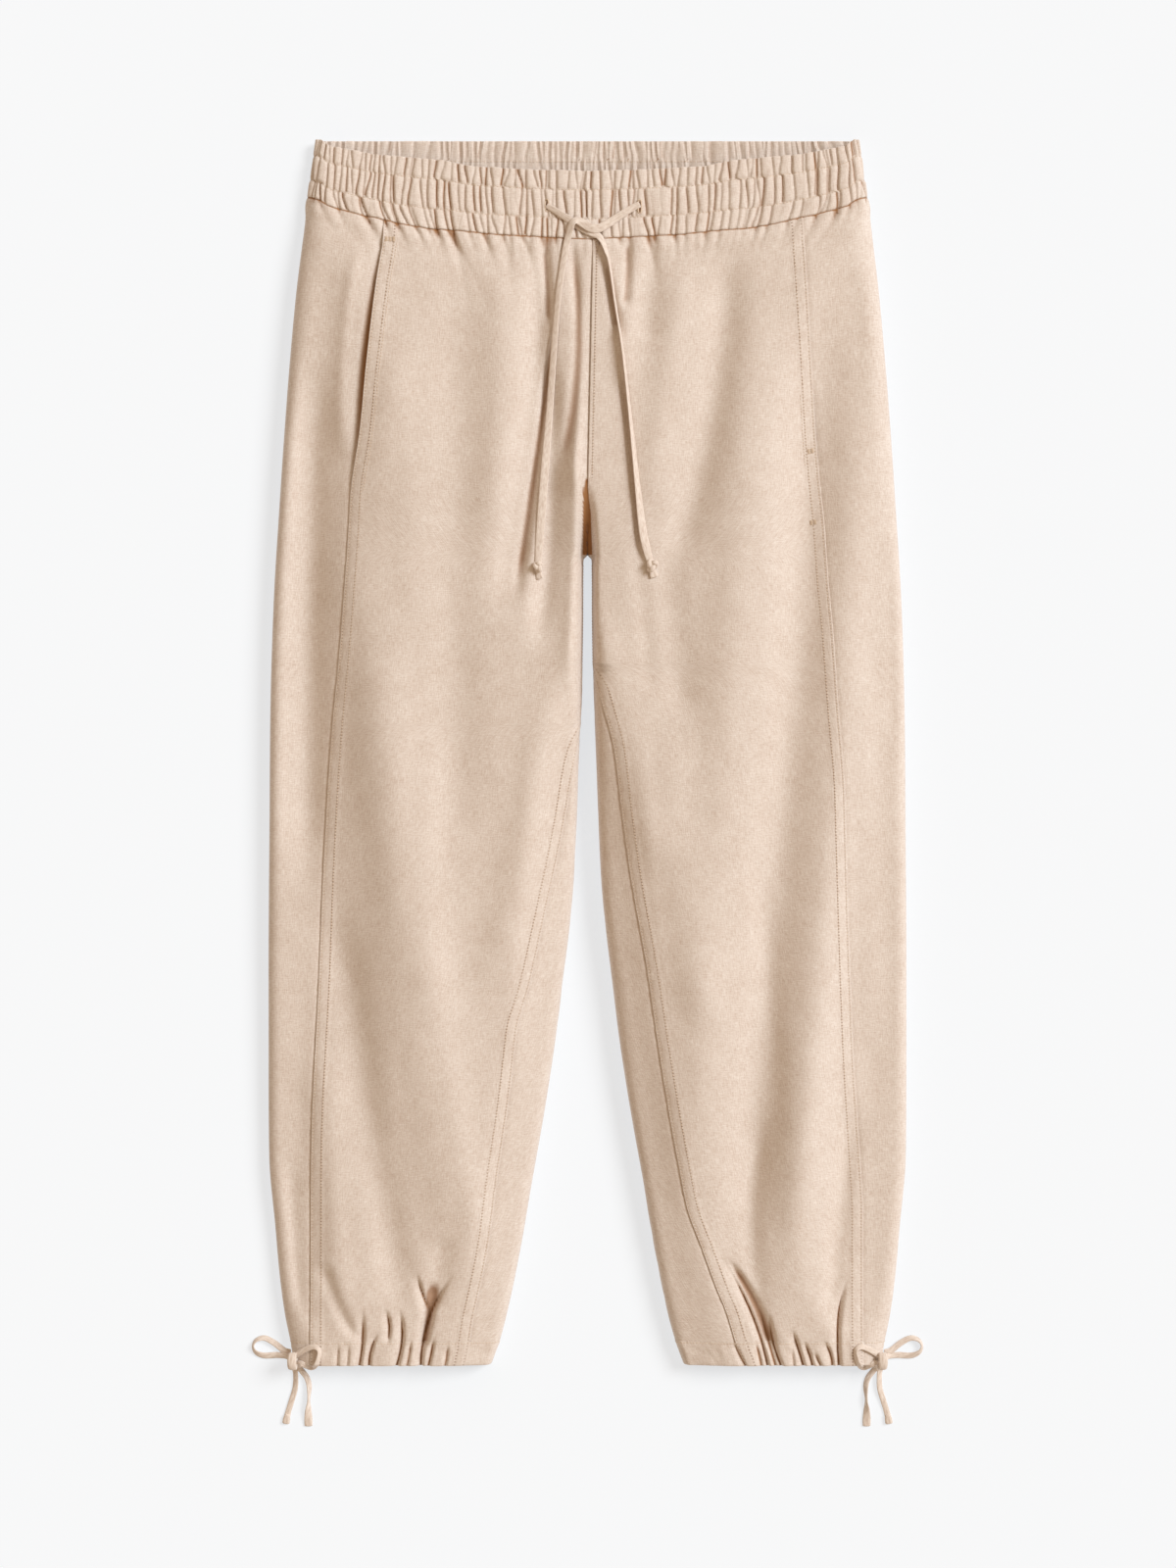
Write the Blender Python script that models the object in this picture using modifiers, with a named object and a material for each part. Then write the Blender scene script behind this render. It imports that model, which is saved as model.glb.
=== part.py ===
"""Linen drawstring trousers, laid flat on their back.

The waist points along +Y, the wearer's left is +X and the front faces +Z.
Every garment piece is an open surface with a cloth wall inside it.  One leg
section, worked out from the tables below, gives all of them: it starts at the
centre front, runs over the top, round the outer edge and back underneath.
Lengths are in millimetres until a mesh is made.
"""

import math

import bpy
import numpy as np
from mathutils import Vector
from mathutils.bvhtree import BVHTree

# ---------------------------------------------------------------- dimensions
MM = 0.001
PANEL_WALL = 1.2
BAND_WALL = 2.0
CASING_WALL = 1.6
SEAM_GAP = 0.3
WAIST_GATHERS = 116
WAIST_GATHER_DEPTH = 1.7
UNDER_EDGE = 12.0
GROIN_WIDTH = 46.0
GROIN_RIM = 8.0
LEDGE = 0.22
UNDER_GROIN = 14.0
CASING_TOP = -492.0
HEM = -512.5
CORD = 4.0
CORD_LIFT = 0.6
SEAM_GUARD = 2.0
TURN_WEIGHT = 30.0
FRONT_COLUMNS = 14
BACK_COLUMNS = 15

RIGHT = -1
LEFT = 1

# Half outline and puff of one leg at a height y along it.
# y, outer edge, top of the puff, height of the outer edge, width of the slope
# to the top, width of the rounded rim, share of the height that the rim takes
BODY = [
    (512.5, 228.0, 15.0, 7.0, 14.0, 14.0, 1.0),
    (485.4, 232.1, 17.0, 7.5, 16.0, 16.0, 1.0),
    (453.5, 236.2, 20.0, 8.0, 20.0, 20.0, 1.0),
    (427.2, 239.0, 24.0, 9.0, 36.0, 22.0, 0.93),
    (382.9, 243.9, 30.0, 10.0, 66.0, 18.0, 0.68),
    (317.3, 249.7, 36.0, 11.0, 96.0, 13.0, 0.46),
    (251.7, 254.6, 40.0, 11.0, 110.0, 11.0, 0.38),
    (196.0, 258.3, 41.0, 11.0, 116.0, 10.0, 0.34),
    (136.9, 262.0, 41.0, 11.0, 118.0, 10.0, 0.32),
    (54.9, 264.9, 40.0, 11.0, 118.0, 10.0, 0.32),
    (-68.1, 266.1, 38.0, 11.0, 116.0, 10.0, 0.32),
    (-191.1, 266.9, 36.0, 10.0, 114.0, 10.0, 0.32),
    (-273.1, 266.9, 34.0, 9.0, 110.0, 10.0, 0.33),
    (-338.7, 266.5, 31.0, 8.0, 104.0, 10.0, 0.36),
    (-396.1, 261.6, 28.0, 7.0, 94.0, 11.0, 0.40),
    (-445.3, 257.1, 26.0, 6.0, 80.0, 13.0, 0.48),
    (-474.0, 253.0, 24.5, 5.5, 64.0, 18.0, 0.62),
    (-492.0, 249.3, 23.5, 5.0, 48.0, 26.0, 0.82),
    (-512.5, 246.0, 22.0, 4.5, 34.0, 34.0, 1.0),
]

# Inner edge of one leg, from the crotch down.
# y, inner edge
INNER = [
    (512.5, 0.0),
    (164.8, 0.0),
    (153.3, 3.3),
    (104.1, 3.7),
    (54.9, 4.9),
    (5.7, 6.7),
    (-68.1, 9.4),
    (-129.6, 13.1),
    (-191.1, 20.5),
    (-244.4, 27.1),
    (-301.8, 36.1),
    (-359.2, 46.3),
    (-416.6, 56.2),
    (-474.0, 68.1),
    (-492.0, 73.0),
    (-512.5, 80.4),
]

# The groin: above 230 the fronts meet level, below it they sink to the crotch
# point at 164.8, and from there the leg is a closed tube.
# y, share of the puff left at the front's inner end, height of the inner
# seam, how far the front's end stands over the back's, share of the height
# that the inner rim takes
GROIN = [
    (512.5, 1.0, 0.0, 1.7, 1.0),
    (230.0, 1.0, 0.0, 1.7, 1.0),
    (214.0, 0.90, 0.0, 1.7, 0.98),
    (196.0, 0.62, 0.0, 1.7, 0.95),
    (180.0, 0.30, 0.0, 1.7, 0.92),
    (164.8, 0.0, 0.0, 1.7, 0.90),
    (153.3, 0.0, 6.0, 0.45, 0.88),
    (104.1, 0.0, 10.0, 0.2, 0.88),
    (54.9, 0.0, 12.0, 0.0, 0.80),
    (-60.0, 0.0, 12.0, 0.0, 0.52),
    (-191.1, 0.0, 11.0, 0.0, 0.45),
    (-445.3, 0.0, 8.0, 0.0, 0.55),
    (-512.5, 0.0, 5.0, 0.0, 0.62),
]

# Side seams, set forward of the outer edge.
# y, seam from the centre line
SIDE_SEAM = {
    RIGHT: [
        (445.3, 169.7),
        (427.2, 171.0),
        (392.0, 176.7),
        (322.3, 184.9),
        (262.4, 190.6),
        (223.0, 196.4),
        (169.7, 199.7),
        (77.9, 207.0),
        (20.5, 212.8),
        (-60.7, 218.5),
        (-191.1, 224.3),
        (-338.7, 230.8),
        (-512.5, 231.6),
    ],
    LEFT: [
        (447.7, 179.2),
        (228.0, 193.1),
        (195.2, 196.4),
        (162.4, 198.8),
        (136.9, 200.5),
        (100.9, 203.8),
        (32.0, 208.7),
        (-26.2, 213.6),
        (-77.9, 215.2),
        (-196.8, 219.3),
        (-267.3, 222.6),
        (-338.7, 227.5),
        (-385.4, 230.0),
        (-512.5, 230.0),
    ],
}

# Inner-leg seams, which come over on to the front below the knee.
# y, seam from the inner edge
INNER_SEAM = {
    RIGHT: [
        (22.1, 0.0),
        (-18.9, 4.9),
        (-68.1, 11.5),
        (-133.7, 21.3),
        (-196.8, 27.5),
        (-232.1, 33.2),
        (-291.1, 31.2),
        (-350.1, 29.5),
        (-420.7, 27.1),
        (-467.4, 27.5),
        (-512.5, 22.1),
    ],
    LEFT: [
        (71.3, 0.0),
        (42.6, 5.7),
        (9.0, 13.9),
        (-49.2, 19.7),
        (-95.1, 23.8),
        (-150.1, 28.7),
        (-250.9, 31.6),
        (-345.2, 32.0),
        (-378.0, 32.8),
        (-413.3, 39.4),
        (-444.4, 44.7),
        (-472.3, 49.6),
        (-512.5, 50.4),
    ],
}

# Pocket mouths in the side seams, where the front's edge stands away.
# side, upper y, lower y, how far it stands away
POCKETS = [
    (RIGHT, 427.0, 214.0, 1.3),
    (LEFT, 300.0, 236.0, 0.3),
]

# Waist seam and upper edge of the band.
# distance from the centre line, height y
FRONT_WAIST_SEAM = [
    (0.0, 427.2),
    (77.9, 431.3),
    (106.6, 434.6),
    (129.6, 436.2),
    (150.9, 440.3),
    (168.1, 445.3),
    (178.8, 447.7),
    (199.3, 454.3),
    (216.5, 460.8),
    (232.9, 463.3),
    (240.0, 464.1),
]
BACK_WAIST_SEAM = [
    (0.0, 453.5),
    (164.0, 455.1),
    (213.2, 460.0),
    (240.0, 464.1),
]
FRONT_TOP_EDGE = [
    (0.0, 485.4),
    (49.2, 486.7),
    (94.3, 489.5),
    (115.6, 494.5),
    (168.1, 499.4),
    (209.1, 507.6),
    (228.0, 512.5),
    (240.0, 512.5),
]
BACK_TOP_EDGE = 512.5
WAIST_SEAM_LEVEL = 427.2

# Rows of the panels: level, share of the waist seam's rise that is left in it.
# y, share
ROWS = [
    (427.2, 1.0),
    (405.0, 0.86),
    (374.0, 0.60),
    (340.0, 0.30),
    (300.0, 0.0),
    (268.0, 0.0),
    (240.0, 0.0),
    (223.0, 0.0),
    (205.0, 0.0),
    (184.0, 0.0),
    (164.8, 0.0),
    (153.3, 0.0),
    (110.0, 0.0),
    (70.0, 0.0),
    (30.0, 0.0),
    (-15.0, 0.0),
    (-60.0, 0.0),
    (-105.0, 0.0),
    (-150.0, 0.0),
    (-195.0, 0.0),
    (-235.0, 0.0),
    (-275.0, 0.0),
    (-315.0, 0.0),
    (-355.0, 0.0),
    (-395.0, 0.0),
    (-430.0, 0.0),
    (-457.0, 0.0),
    (-475.0, 0.0),
    (CASING_TOP, 0.0),
]

# Long folds on the front, a ridge where the height is above zero.
# side, upper y and x, middle y and x, lower y and x, half width above and
# below, height
FRONT_FOLDS = [
    (RIGHT, 343.0, 155.0, 238.0, 179.0, 93.0, 195.0, 18.0, 22.0, 3.2),
    (RIGHT, 204.0, 195.0, -57.0, 162.0, -472.0, 86.0, 28.0, 24.0, 7.1),
    (RIGHT, 423.0, 110.0, 200.0, 110.0, -108.0, 111.0, 20.0, 23.0, -4.3),
    (RIGHT, 428.0, 75.0, 330.0, 71.0, 172.0, 84.0, 14.0, 16.0, 2.9),
    (RIGHT, 354.0, 227.0, 120.0, 235.0, -131.0, 234.0, 14.0, 18.0, -6.7),
    (RIGHT, -102.0, 214.0, -247.0, 191.0, -482.0, 152.0, 18.0, 16.0, -5.6),
    (RIGHT, -233.0, 222.0, -351.0, 215.0, -486.0, 206.0, 16.0, 14.0, 4.6),
    (RIGHT, 143.0, 9.0, 18.0, 32.0, -213.0, 81.0, 15.0, 20.0, 4.3),
    (RIGHT, 29.0, 128.0, -110.0, 132.0, -240.0, 120.0, 14.0, 14.0, 2.3),
    (LEFT, 423.0, 84.0, 325.0, 68.0, 190.0, 48.0, 13.0, 15.0, 3.4),
    (LEFT, 429.0, 117.0, 284.0, 103.0, 133.0, 64.0, 15.0, 17.0, -6.8),
    (LEFT, 172.0, 64.0, 100.0, 71.0, 21.0, 80.0, 15.0, 15.0, -3.1),
    (LEFT, 131.0, 7.0, 15.0, 30.0, -112.0, 60.0, 14.0, 19.0, 3.8),
    (LEFT, 428.0, 146.0, 62.0, 117.0, -419.0, 84.0, 23.0, 22.0, 4.9),
    (LEFT, 422.0, 195.0, 61.0, 170.0, -475.0, 124.0, 22.0, 19.0, -10.8),
    (LEFT, 378.0, 232.0, -95.0, 204.0, -483.0, 164.0, 22.0, 20.0, 8.9),
    (LEFT, 40.0, 67.0, -91.0, 76.0, -241.0, 98.0, 21.0, 21.0, 4.3),
    (LEFT, 101.0, 232.0, -60.0, 233.0, -260.0, 235.0, 13.0, 13.0, 2.8),
]

# Folds of the underside.  The cloth rests flat, so they only rise from it.
BACK_FOLDS = [
    (RIGHT, 400.0, 150.0, 150.0, 138.0, -120.0, 150.0, 14.0, 16.0, 3.0),
    (RIGHT, 60.0, 84.0, -160.0, 110.0, -430.0, 130.0, 14.0, 14.0, 3.5),
    (RIGHT, -150.0, 196.0, -300.0, 190.0, -460.0, 180.0, 12.0, 12.0, 2.5),
    (LEFT, 390.0, 96.0, 180.0, 118.0, -60.0, 124.0, 14.0, 16.0, 3.0),
    (LEFT, 120.0, 188.0, -130.0, 176.0, -420.0, 158.0, 14.0, 14.0, 3.5),
    (LEFT, -120.0, 84.0, -290.0, 100.0, -460.0, 116.0, 12.0, 12.0, 2.5),
]

# Gathers drawn up by the hem cord.
# distance from the centre line, depth, half width, run up the leg
HEM_GATHERS = {
    (RIGHT, "front"): [
        (222.0, 2.0, 3.4, 26.0),
        (214.5, 3.0, 3.4, 34.0),
        (204.5, 2.5, 3.4, 24.0),
        (196.0, 2.5, 3.4, 30.0),
        (188.2, 5.0, 3.2, 52.0),
        (180.0, 5.0, 3.2, 44.0),
        (166.8, 6.5, 3.6, 60.0),
        (156.2, 5.5, 3.6, 48.0),
        (138.2, 7.0, 4.2, 74.0),
        (127.5, 5.0, 3.4, 56.0),
        (113.0, 3.5, 4.0, 40.0),
    ],
    (LEFT, "front"): [
        (222.0, 2.0, 3.4, 26.0),
        (210.5, 3.5, 3.6, 36.0),
        (202.1, 4.0, 3.4, 40.0),
        (193.1, 4.5, 3.4, 46.0),
        (183.3, 4.0, 3.4, 40.0),
        (175.9, 5.0, 3.4, 48.0),
        (165.0, 3.0, 3.6, 32.0),
        (154.6, 7.0, 4.0, 74.0),
        (143.9, 7.0, 4.0, 88.0),
        (133.0, 3.5, 4.0, 40.0),
        (108.0, 2.5, 3.6, 30.0),
    ],
    (RIGHT, "back"): [
        (218.0, 3.0, 3.6, 34.0),
        (205.0, 3.6, 3.8, 46.0),
        (191.0, 4.2, 3.8, 56.0),
        (177.0, 3.6, 3.8, 40.0),
        (160.0, 4.2, 4.2, 60.0),
        (146.0, 4.0, 4.0, 42.0),
        (130.0, 3.5, 4.0, 36.0),
        (113.0, 3.0, 4.0, 30.0),
    ],
    (LEFT, "back"): [
        (219.0, 3.0, 3.6, 36.0),
        (203.0, 4.2, 3.8, 48.0),
        (189.0, 3.6, 3.8, 42.0),
        (172.0, 4.2, 4.2, 60.0),
        (158.0, 3.8, 4.0, 46.0),
        (143.0, 4.0, 4.0, 52.0),
        (126.0, 3.0, 4.0, 32.0),
        (112.0, 3.0, 4.0, 30.0),
    ],
}

# Waist cord, over the cloth.  Buttonhole to half knot, and the free ends.
# x, y
RUNS = {
    RIGHT: [(-34.0, 455.8), (-26.0, 450.5), (-17.0, 447.5), (-4.5, 442.0)],
    LEFT: [(43.0, 455.8), (34.0, 447.0), (24.0, 437.5), (12.5, 433.6)],
}
TAILS = {
    RIGHT: [
        (-10.6, 440.4),
        (-12.8, 433.2),
        (-18.5, 415.7),
        (-22.6, 387.0),
        (-25.4, 358.0),
        (-28.3, 317.3),
        (-32.4, 259.9),
        (-36.5, 202.5),
        (-40.0, 158.0),
    ],
    LEFT: [
        (8.5, 431.0),
        (16.8, 413.3),
        (19.3, 396.9),
        (24.2, 373.1),
        (29.1, 333.7),
        (34.9, 276.3),
        (40.6, 218.9),
        (48.6, 163.0),
    ],
}
# x, y, half sizes along x, y and z
WAIST_KNOT = (1.0, 437.0, 8.6, 5.4, 3.4)
END_KNOTS = {
    RIGHT: (-41.0, 149.8, 4.2, 7.0, 3.4),
    LEFT: (52.6, 154.0, 5.2, 7.6, 3.4),
}

# Hem bows, mirrored from leg to leg.
# distance from the centre line, y, half sizes along x, y and z
BOW_KNOT = (246.6, -508.0, 5.6, 8.2, 3.8)
# distance from the centre line, y, height over the table
BOW_ROUTES = {
    "loop_outer": [
        (252.6, -502.0, 15.2),
        (256.4, -495.5, 12.0),
        (264.0, -490.4, 6.5),
        (271.2, -489.9, 3.2),
        (276.4, -493.8, 2.4),
        (277.2, -499.6, 2.4),
        (273.8, -504.9, 2.8),
        (264.5, -507.4, 6.5),
        (254.0, -508.8, 13.0),
    ],
    "loop_inner": [
        (240.8, -503.2, 19.0),
        (234.6, -498.4, 22.2),
        (228.0, -496.9, 25.0),
        (223.8, -500.6, 25.8),
        (224.0, -507.6, 25.4),
        (227.2, -514.4, 24.2),
        (232.6, -516.0, 22.0),
        (240.4, -511.4, 18.8),
    ],
    "tail_outer": [
        (246.4, -517.6, 14.0),
        (245.0, -527.3, 6.5),
        (246.0, -537.9, 2.6),
        (248.6, -548.4, 2.4),
        (250.8, -556.4, 2.6),
    ],
    "tail_inner": [
        (239.4, -518.8, 17.4),
        (236.0, -525.6, 9.0),
        (232.9, -534.6, 3.4),
        (233.1, -546.1, 2.4),
        (233.3, -565.0, 2.4),
    ],
}
BOW_END = (252.2, -561.4, 3.2, 4.4, 3.0)


# ------------------------------------------------------------------- helpers
def smooth(table, column, at):
    """Cubic through one column of a table, by its first column."""
    rows = np.array(sorted(table), dtype=float)
    x = rows[:, 0]
    v = rows[:, column]
    m = np.gradient(v, x)
    at = np.clip(np.asarray(at, dtype=float), x[0], x[-1])
    i = np.clip(np.searchsorted(x, at) - 1, 0, len(x) - 2)
    w = x[i + 1] - x[i]
    t = (at - x[i]) / w
    a = 2 * t**3 - 3 * t**2 + 1
    b = t**3 - 2 * t**2 + t
    return a * v[i] + b * w * m[i] + (1 - a) * v[i + 1] + (t**3 - t**2) * w * m[i + 1]


def straight(table, column, at):
    """Straight lines through one column of a table, by its first column."""
    rows = np.array(sorted(table), dtype=float)
    return np.interp(at, rows[:, 0], rows[:, column])


def step(a, b, t):
    """0 at a, 1 at b, smooth between them."""
    t = np.clip((t - a) / (b - a), 0.0, 1.0)
    return t * t * (3.0 - 2.0 * t)


def puff_rise(inwards, wide, rim, share, ledge):
    """Share of the puff's height at a distance inwards from its edge.

    A quarter ellipse over the rim takes one share, and a smooth slope from
    the ledge to the top takes the rest.
    """
    near = np.sqrt(1.0 - (1.0 - np.clip(inwards / rim, 0.0, 1.0)) ** 2)
    return share * near + (1.0 - share) * step(ledge * wide, wide, inwards)


def leg_section(p, y):
    """Distance from the centre line and height of the leg's outline.

    p runs from 3 at the inner end of the front, over the top to 0 at the
    outer edge, and to -3 at the inner end of the underside.
    """
    p = np.asarray(p, dtype=float)
    outer, top, edge, wide, rim, rim_share = (smooth(BODY, n, y) for n in range(1, 7))
    inner = straight(INNER, 1, y)
    share, low, over, inner_share = (straight(GROIN, n, y) for n in range(1, 5))
    end = low + over
    end = end + share * (top - end)
    groin = UNDER_GROIN * np.clip(low / 12.0, 0.5, 1.0)
    quarter = math.pi / 2
    inwards = wide * (1 - np.cos(np.clip(p, 0, 1) * quarter))
    h = outer - inwards
    z = edge + (top - edge) * puff_rise(inwards, wide, rim, rim_share, LEDGE)
    k = (p > 1) & (p <= 2)
    h = np.where(k, outer - wide + (p - 1) * (inner + GROIN_WIDTH - outer + wide), h)
    z = np.where(k, top, z)
    inwards = GROIN_WIDTH * (1 - np.sin((np.clip(p, 2, 3) - 2) * quarter))
    k = p > 2
    h = np.where(k, inner + inwards, h)
    up = puff_rise(inwards, GROIN_WIDTH, GROIN_RIM, inner_share, 0.0)
    z = np.where(k, end + (top - end) * up, z)
    a = np.clip(-p, 0, 1) * quarter
    k = (p < 0) & (p >= -1)
    h = np.where(k, outer - UNDER_EDGE * (1 - np.cos(a)), h)
    z = np.where(k, edge * (1 - np.sin(a)), z)
    k = (p < -1) & (p >= -2)
    flat = inner + groin - outer + UNDER_EDGE
    h = np.where(k, outer - UNDER_EDGE + (-p - 1) * flat, h)
    z = np.where(k, 0.0, z)
    a = (np.clip(-p, 2, 3) - 2) * quarter
    k = p < -2
    h = np.where(k, inner + groin * (1 - np.sin(a)), h)
    z = np.where(k, low * (1 - np.cos(a)), z)
    return h, z


def top_weight(h, y):
    """How much of a fold of the front is left at a point: none at its edges."""
    outwards = smooth(BODY, 1, y) - h
    return step(1.0, 16.0, outwards) * step(1.0, 11.0, h - straight(INNER, 1, y))


def under_weight(p):
    """How much of a fold of the back is left at p."""
    return np.where(p < -1, 1.0, 0.0) * step(-2.6, -2.0, p) * step(-1.0, -1.15, p)


def fold_height(table, side, h, y):
    """Sum of the long folds of a table at a point of one leg."""
    total = np.zeros_like(h)
    for leg, ya, xa, ym, xm, yb, xb, wide_a, wide_b, height in table:
        if leg != side:
            continue
        t = np.clip((ya - y) / (ya - yb), 0.0, 1.0)
        tm = (ya - ym) / (ya - yb)
        bend = (xm - xa - tm * (xb - xa)) / (tm * (1 - tm))
        line = xa + t * (xb - xa) + bend * t * (1 - t)
        wide = wide_a + (wide_b - wide_a) * t
        fade = step(0.0, 0.22, t) * step(1.0, 0.82, t)
        total = total + height * fade * np.exp(-(((h - line) / wide) ** 2))
    return total


def hem_depth(side, p, h, y):
    """Depth of the hem's gathers at a point of one leg."""
    total = np.zeros_like(h)
    for face, over in (("front", p >= 0), ("back", p < 0)):
        for centre, depth, wide, run in HEM_GATHERS[(side, face)]:
            fade = step(CASING_TOP + run, CASING_TOP, y)
            dent = depth * fade * np.exp(-(((h - centre) / wide) ** 2))
            total = total + np.where(over, dent, 0.0)
    return total


def pocket_mouth(side, y):
    """How far the front's edge stands away from the side seam."""
    wide = 0.0
    for leg, upper, lower, opening in POCKETS:
        if leg == side and lower < y < upper:
            wide = opening * math.sin(math.pi * (y - lower) / (upper - lower))
    return wide


def waist_rise(p, h):
    """How far the waist seam stands above its level at a point."""
    front = straight(FRONT_WAIST_SEAM, 1, h)
    back = straight(BACK_WAIST_SEAM, 1, h)
    return np.where(p >= 0, front, back) - WAIST_SEAM_LEVEL


class Row:
    """One leg's section, sampled closely, with lengths along it.

    It runs from the centre front over the top to the centre back, and below
    the crotch goes on over the inner edge on to the front again.
    """

    def __init__(self, side, level, share=0.0, height=None):
        p = np.concatenate(
            [np.linspace(3, 0, 241), np.linspace(0, -3, 241)[1:]]
        )
        nominal, _ = leg_section(p, np.full_like(p, level))
        y = level + share * waist_rise(p, nominal)
        if height is not None:
            y = height(p, nominal)
        h, z = leg_section(p, y)
        if level < 160.0:
            extra = np.linspace(3, 1.6, 113)[1:]
            eh, ez = leg_section(extra, np.full_like(extra, level))
            p = np.concatenate([p, extra])
            h = np.concatenate([h, eh])
            y = np.concatenate([y, np.full_like(extra, level)])
            z = np.concatenate([z, ez])
        moves = np.hypot(np.diff(h), np.diff(z))
        self.side = side
        self.a = np.concatenate([[0.0], np.cumsum(moves)])
        self.p, self.h, self.y, self.z = p, h, y, z
        th = np.gradient(h, self.a + np.arange(len(h)) * 1e-9)
        tz = np.gradient(z, self.a + np.arange(len(h)) * 1e-9)
        size = np.maximum(np.hypot(th, tz), 1e-9)
        self.nh, self.nz = -tz / size, th / size
        turn = np.abs(np.diff(np.unwrap(np.arctan2(tz, th))))
        self.effort = np.concatenate([[0.0], np.cumsum(moves + TURN_WEIGHT * turn)])
        self.loop = float(self.a[480])

    def side_seam(self):
        """Length at which the side seam lies."""
        n = 241
        off = self.h[:n] - smooth(SIDE_SEAM[self.side], 1, self.y[:n])
        return float(np.interp(0.0, off, self.a[:n]))

    def inner_seam(self):
        """Length at which the inner-leg seam lies, 0 at the inner edge."""
        if self.y[0] > INNER_SEAM[self.side][0][0]:
            return 0.0
        n = 161
        inner = straight(INNER, 1, self.y[:n])
        off = self.h[:n] - inner - straight(INNER_SEAM[self.side], 1, self.y[:n])
        return float(np.interp(0.0, off, self.a[:n]))

    def even(self, start, end, count):
        """Lengths from start to end, closer together round the edges."""
        e = np.interp([start, end], self.a, self.effort)
        return np.interp(np.linspace(e[0], e[1], count + 1), self.effort, self.a)

    def points(self, at, dent=None):
        """Points at the lengths at, with long folds and a dent inwards."""
        at = np.asarray(at, dtype=float)
        p = np.interp(at, self.a, self.p)
        h = np.interp(at, self.a, self.h)
        y = np.interp(at, self.a, self.y)
        z = np.interp(at, self.a, self.z)
        nh = np.interp(at, self.a, self.nh)
        nz = np.interp(at, self.a, self.nz)
        wrapped = at > self.loop
        p = np.where(wrapped, np.clip(3.0 - (at - self.loop) / 60.0, 2, 3), p)
        if np.any(wrapped):
            k = self.a > self.loop
            seen = np.concatenate([[self.loop], self.a[k]])
            values = np.concatenate([[3.0], self.p[k]])
            p = np.where(wrapped, np.interp(at, seen, values), p)
        lift = top_weight(h, y) * fold_height(FRONT_FOLDS, self.side, h, y)
        lift = np.where(p >= 0, lift, 0.0)
        lift = lift + under_weight(p) * fold_height(BACK_FOLDS, self.side, h, y)
        inward = hem_depth(self.side, p, h, y)
        if dent is not None:
            inward = inward + dent
        h = h - nh * inward
        z = z - nz * inward + lift
        return np.stack([self.side * h, y, z], axis=1)

    def hem_columns(self, start, end):
        """Lengths of the hem gathers' bottoms and the crests between them."""
        marks = []
        for face, part in (("front", slice(0, 241)), ("back", slice(240, 481))):
            table = sorted(HEM_GATHERS[(self.side, face)])
            centres = np.array([row[0] for row in table])
            crests = (centres[1:] + centres[:-1]) / 2
            ends = [centres[0] - 7.0, centres[-1] + 7.0]
            wanted = np.concatenate([centres, crests, ends])
            hs = self.h[part]
            lengths = self.a[part]
            order = np.argsort(hs)
            marks.extend(np.interp(wanted, hs[order], lengths[order]))
        return marks


def merge_marks(base, marks, start, end, near):
    """base lengths and marks between start and end, none nearer than near.

    A guard stands close to each end, so that the cloth meets its seam square.
    """
    first = start + SEAM_GUARD
    last = end - SEAM_GUARD
    strong = sorted(m for m in marks if first + near < m < last - near)
    weak = sorted(b for b in base if first + near < b < last - near)
    weak = [b for b in weak if all(abs(b - m) > near for m in strong)]
    return np.array([start, first] + sorted(strong + weak) + [last, end])


def wave_share(count, seed):
    """Uneven places of gathers in 0 to 1 along half the waist, and depths."""
    k = np.arange(count)
    place = (k + 0.5 + 0.16 * np.sin(2.3 * k + seed) + 0.08 * np.sin(5.1 * k)) / count
    depth = 0.72 + 0.28 * np.sin(1.9 * k + 2.0 * seed)
    return place, depth


def waist_marks(row, seed):
    """Lengths and depths of bottoms and crests of the waist's gathers."""
    places, depths = wave_share(WAIST_GATHERS // 2, seed)
    bottoms = places * row.loop
    crests = (bottoms[1:] + bottoms[:-1]) / 2
    at = np.concatenate([bottoms, crests])
    deep = np.concatenate([depths, np.zeros_like(crests)])
    order = np.argsort(at)
    return at[order], deep[order] * WAIST_GATHER_DEPTH


def link(upper, lower, first, second, faces):
    """Triangles between two rows with unlike numbers of points."""
    i = 0
    j = 0
    while i < len(upper) - 1 or j < len(lower) - 1:
        go_upper = j >= len(lower) - 1
        if i < len(upper) - 1 and j < len(lower) - 1:
            go_upper = upper[i + 1] <= lower[j + 1]
        if go_upper:
            faces.append((first + i, second + j, first + i + 1))
            i += 1
        else:
            faces.append((first + i, second + j, second + j + 1))
            j += 1


def quads(count, first, second, faces, closed=False):
    """Four-sided faces between two rows with the same number of points."""
    for i in range(count if closed else count - 1):
        n = (i + 1) % count
        faces.append((first + i, second + i, second + n, first + n))


def cloth(name, rows, wall, material, closed=False):
    """A solid from rows of points: an open surface and a wall inside it."""
    verts = []
    faces = []
    starts = []
    for points in rows:
        starts.append(len(verts))
        verts.extend(points.tolist())
    for n in range(len(rows) - 1):
        upper = rows[n]
        lower = rows[n + 1]
        if len(upper) == len(lower):
            quads(len(upper), starts[n], starts[n + 1], faces, closed)
        else:
            ua = share_along(upper)
            la = share_along(lower)
            link(ua, la, starts[n], starts[n + 1], faces)
    mesh = bpy.data.meshes.new(name)
    mesh.from_pydata([[c * MM for c in v] for v in verts], [], faces)
    mesh.update()
    mesh.materials.append(material)
    obj = bpy.data.objects.new(name, mesh)
    garment.objects.link(obj)
    if outward(mesh) < 0:
        mesh.flip_normals()
    mesh.polygons.foreach_set("use_smooth", [True] * len(mesh.polygons))
    solid = obj.modifiers.new("wall", "SOLIDIFY")
    solid.thickness = wall * MM
    solid.offset = -1.0
    solid.use_even_offset = True
    solid.use_rim = True
    return obj


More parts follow.
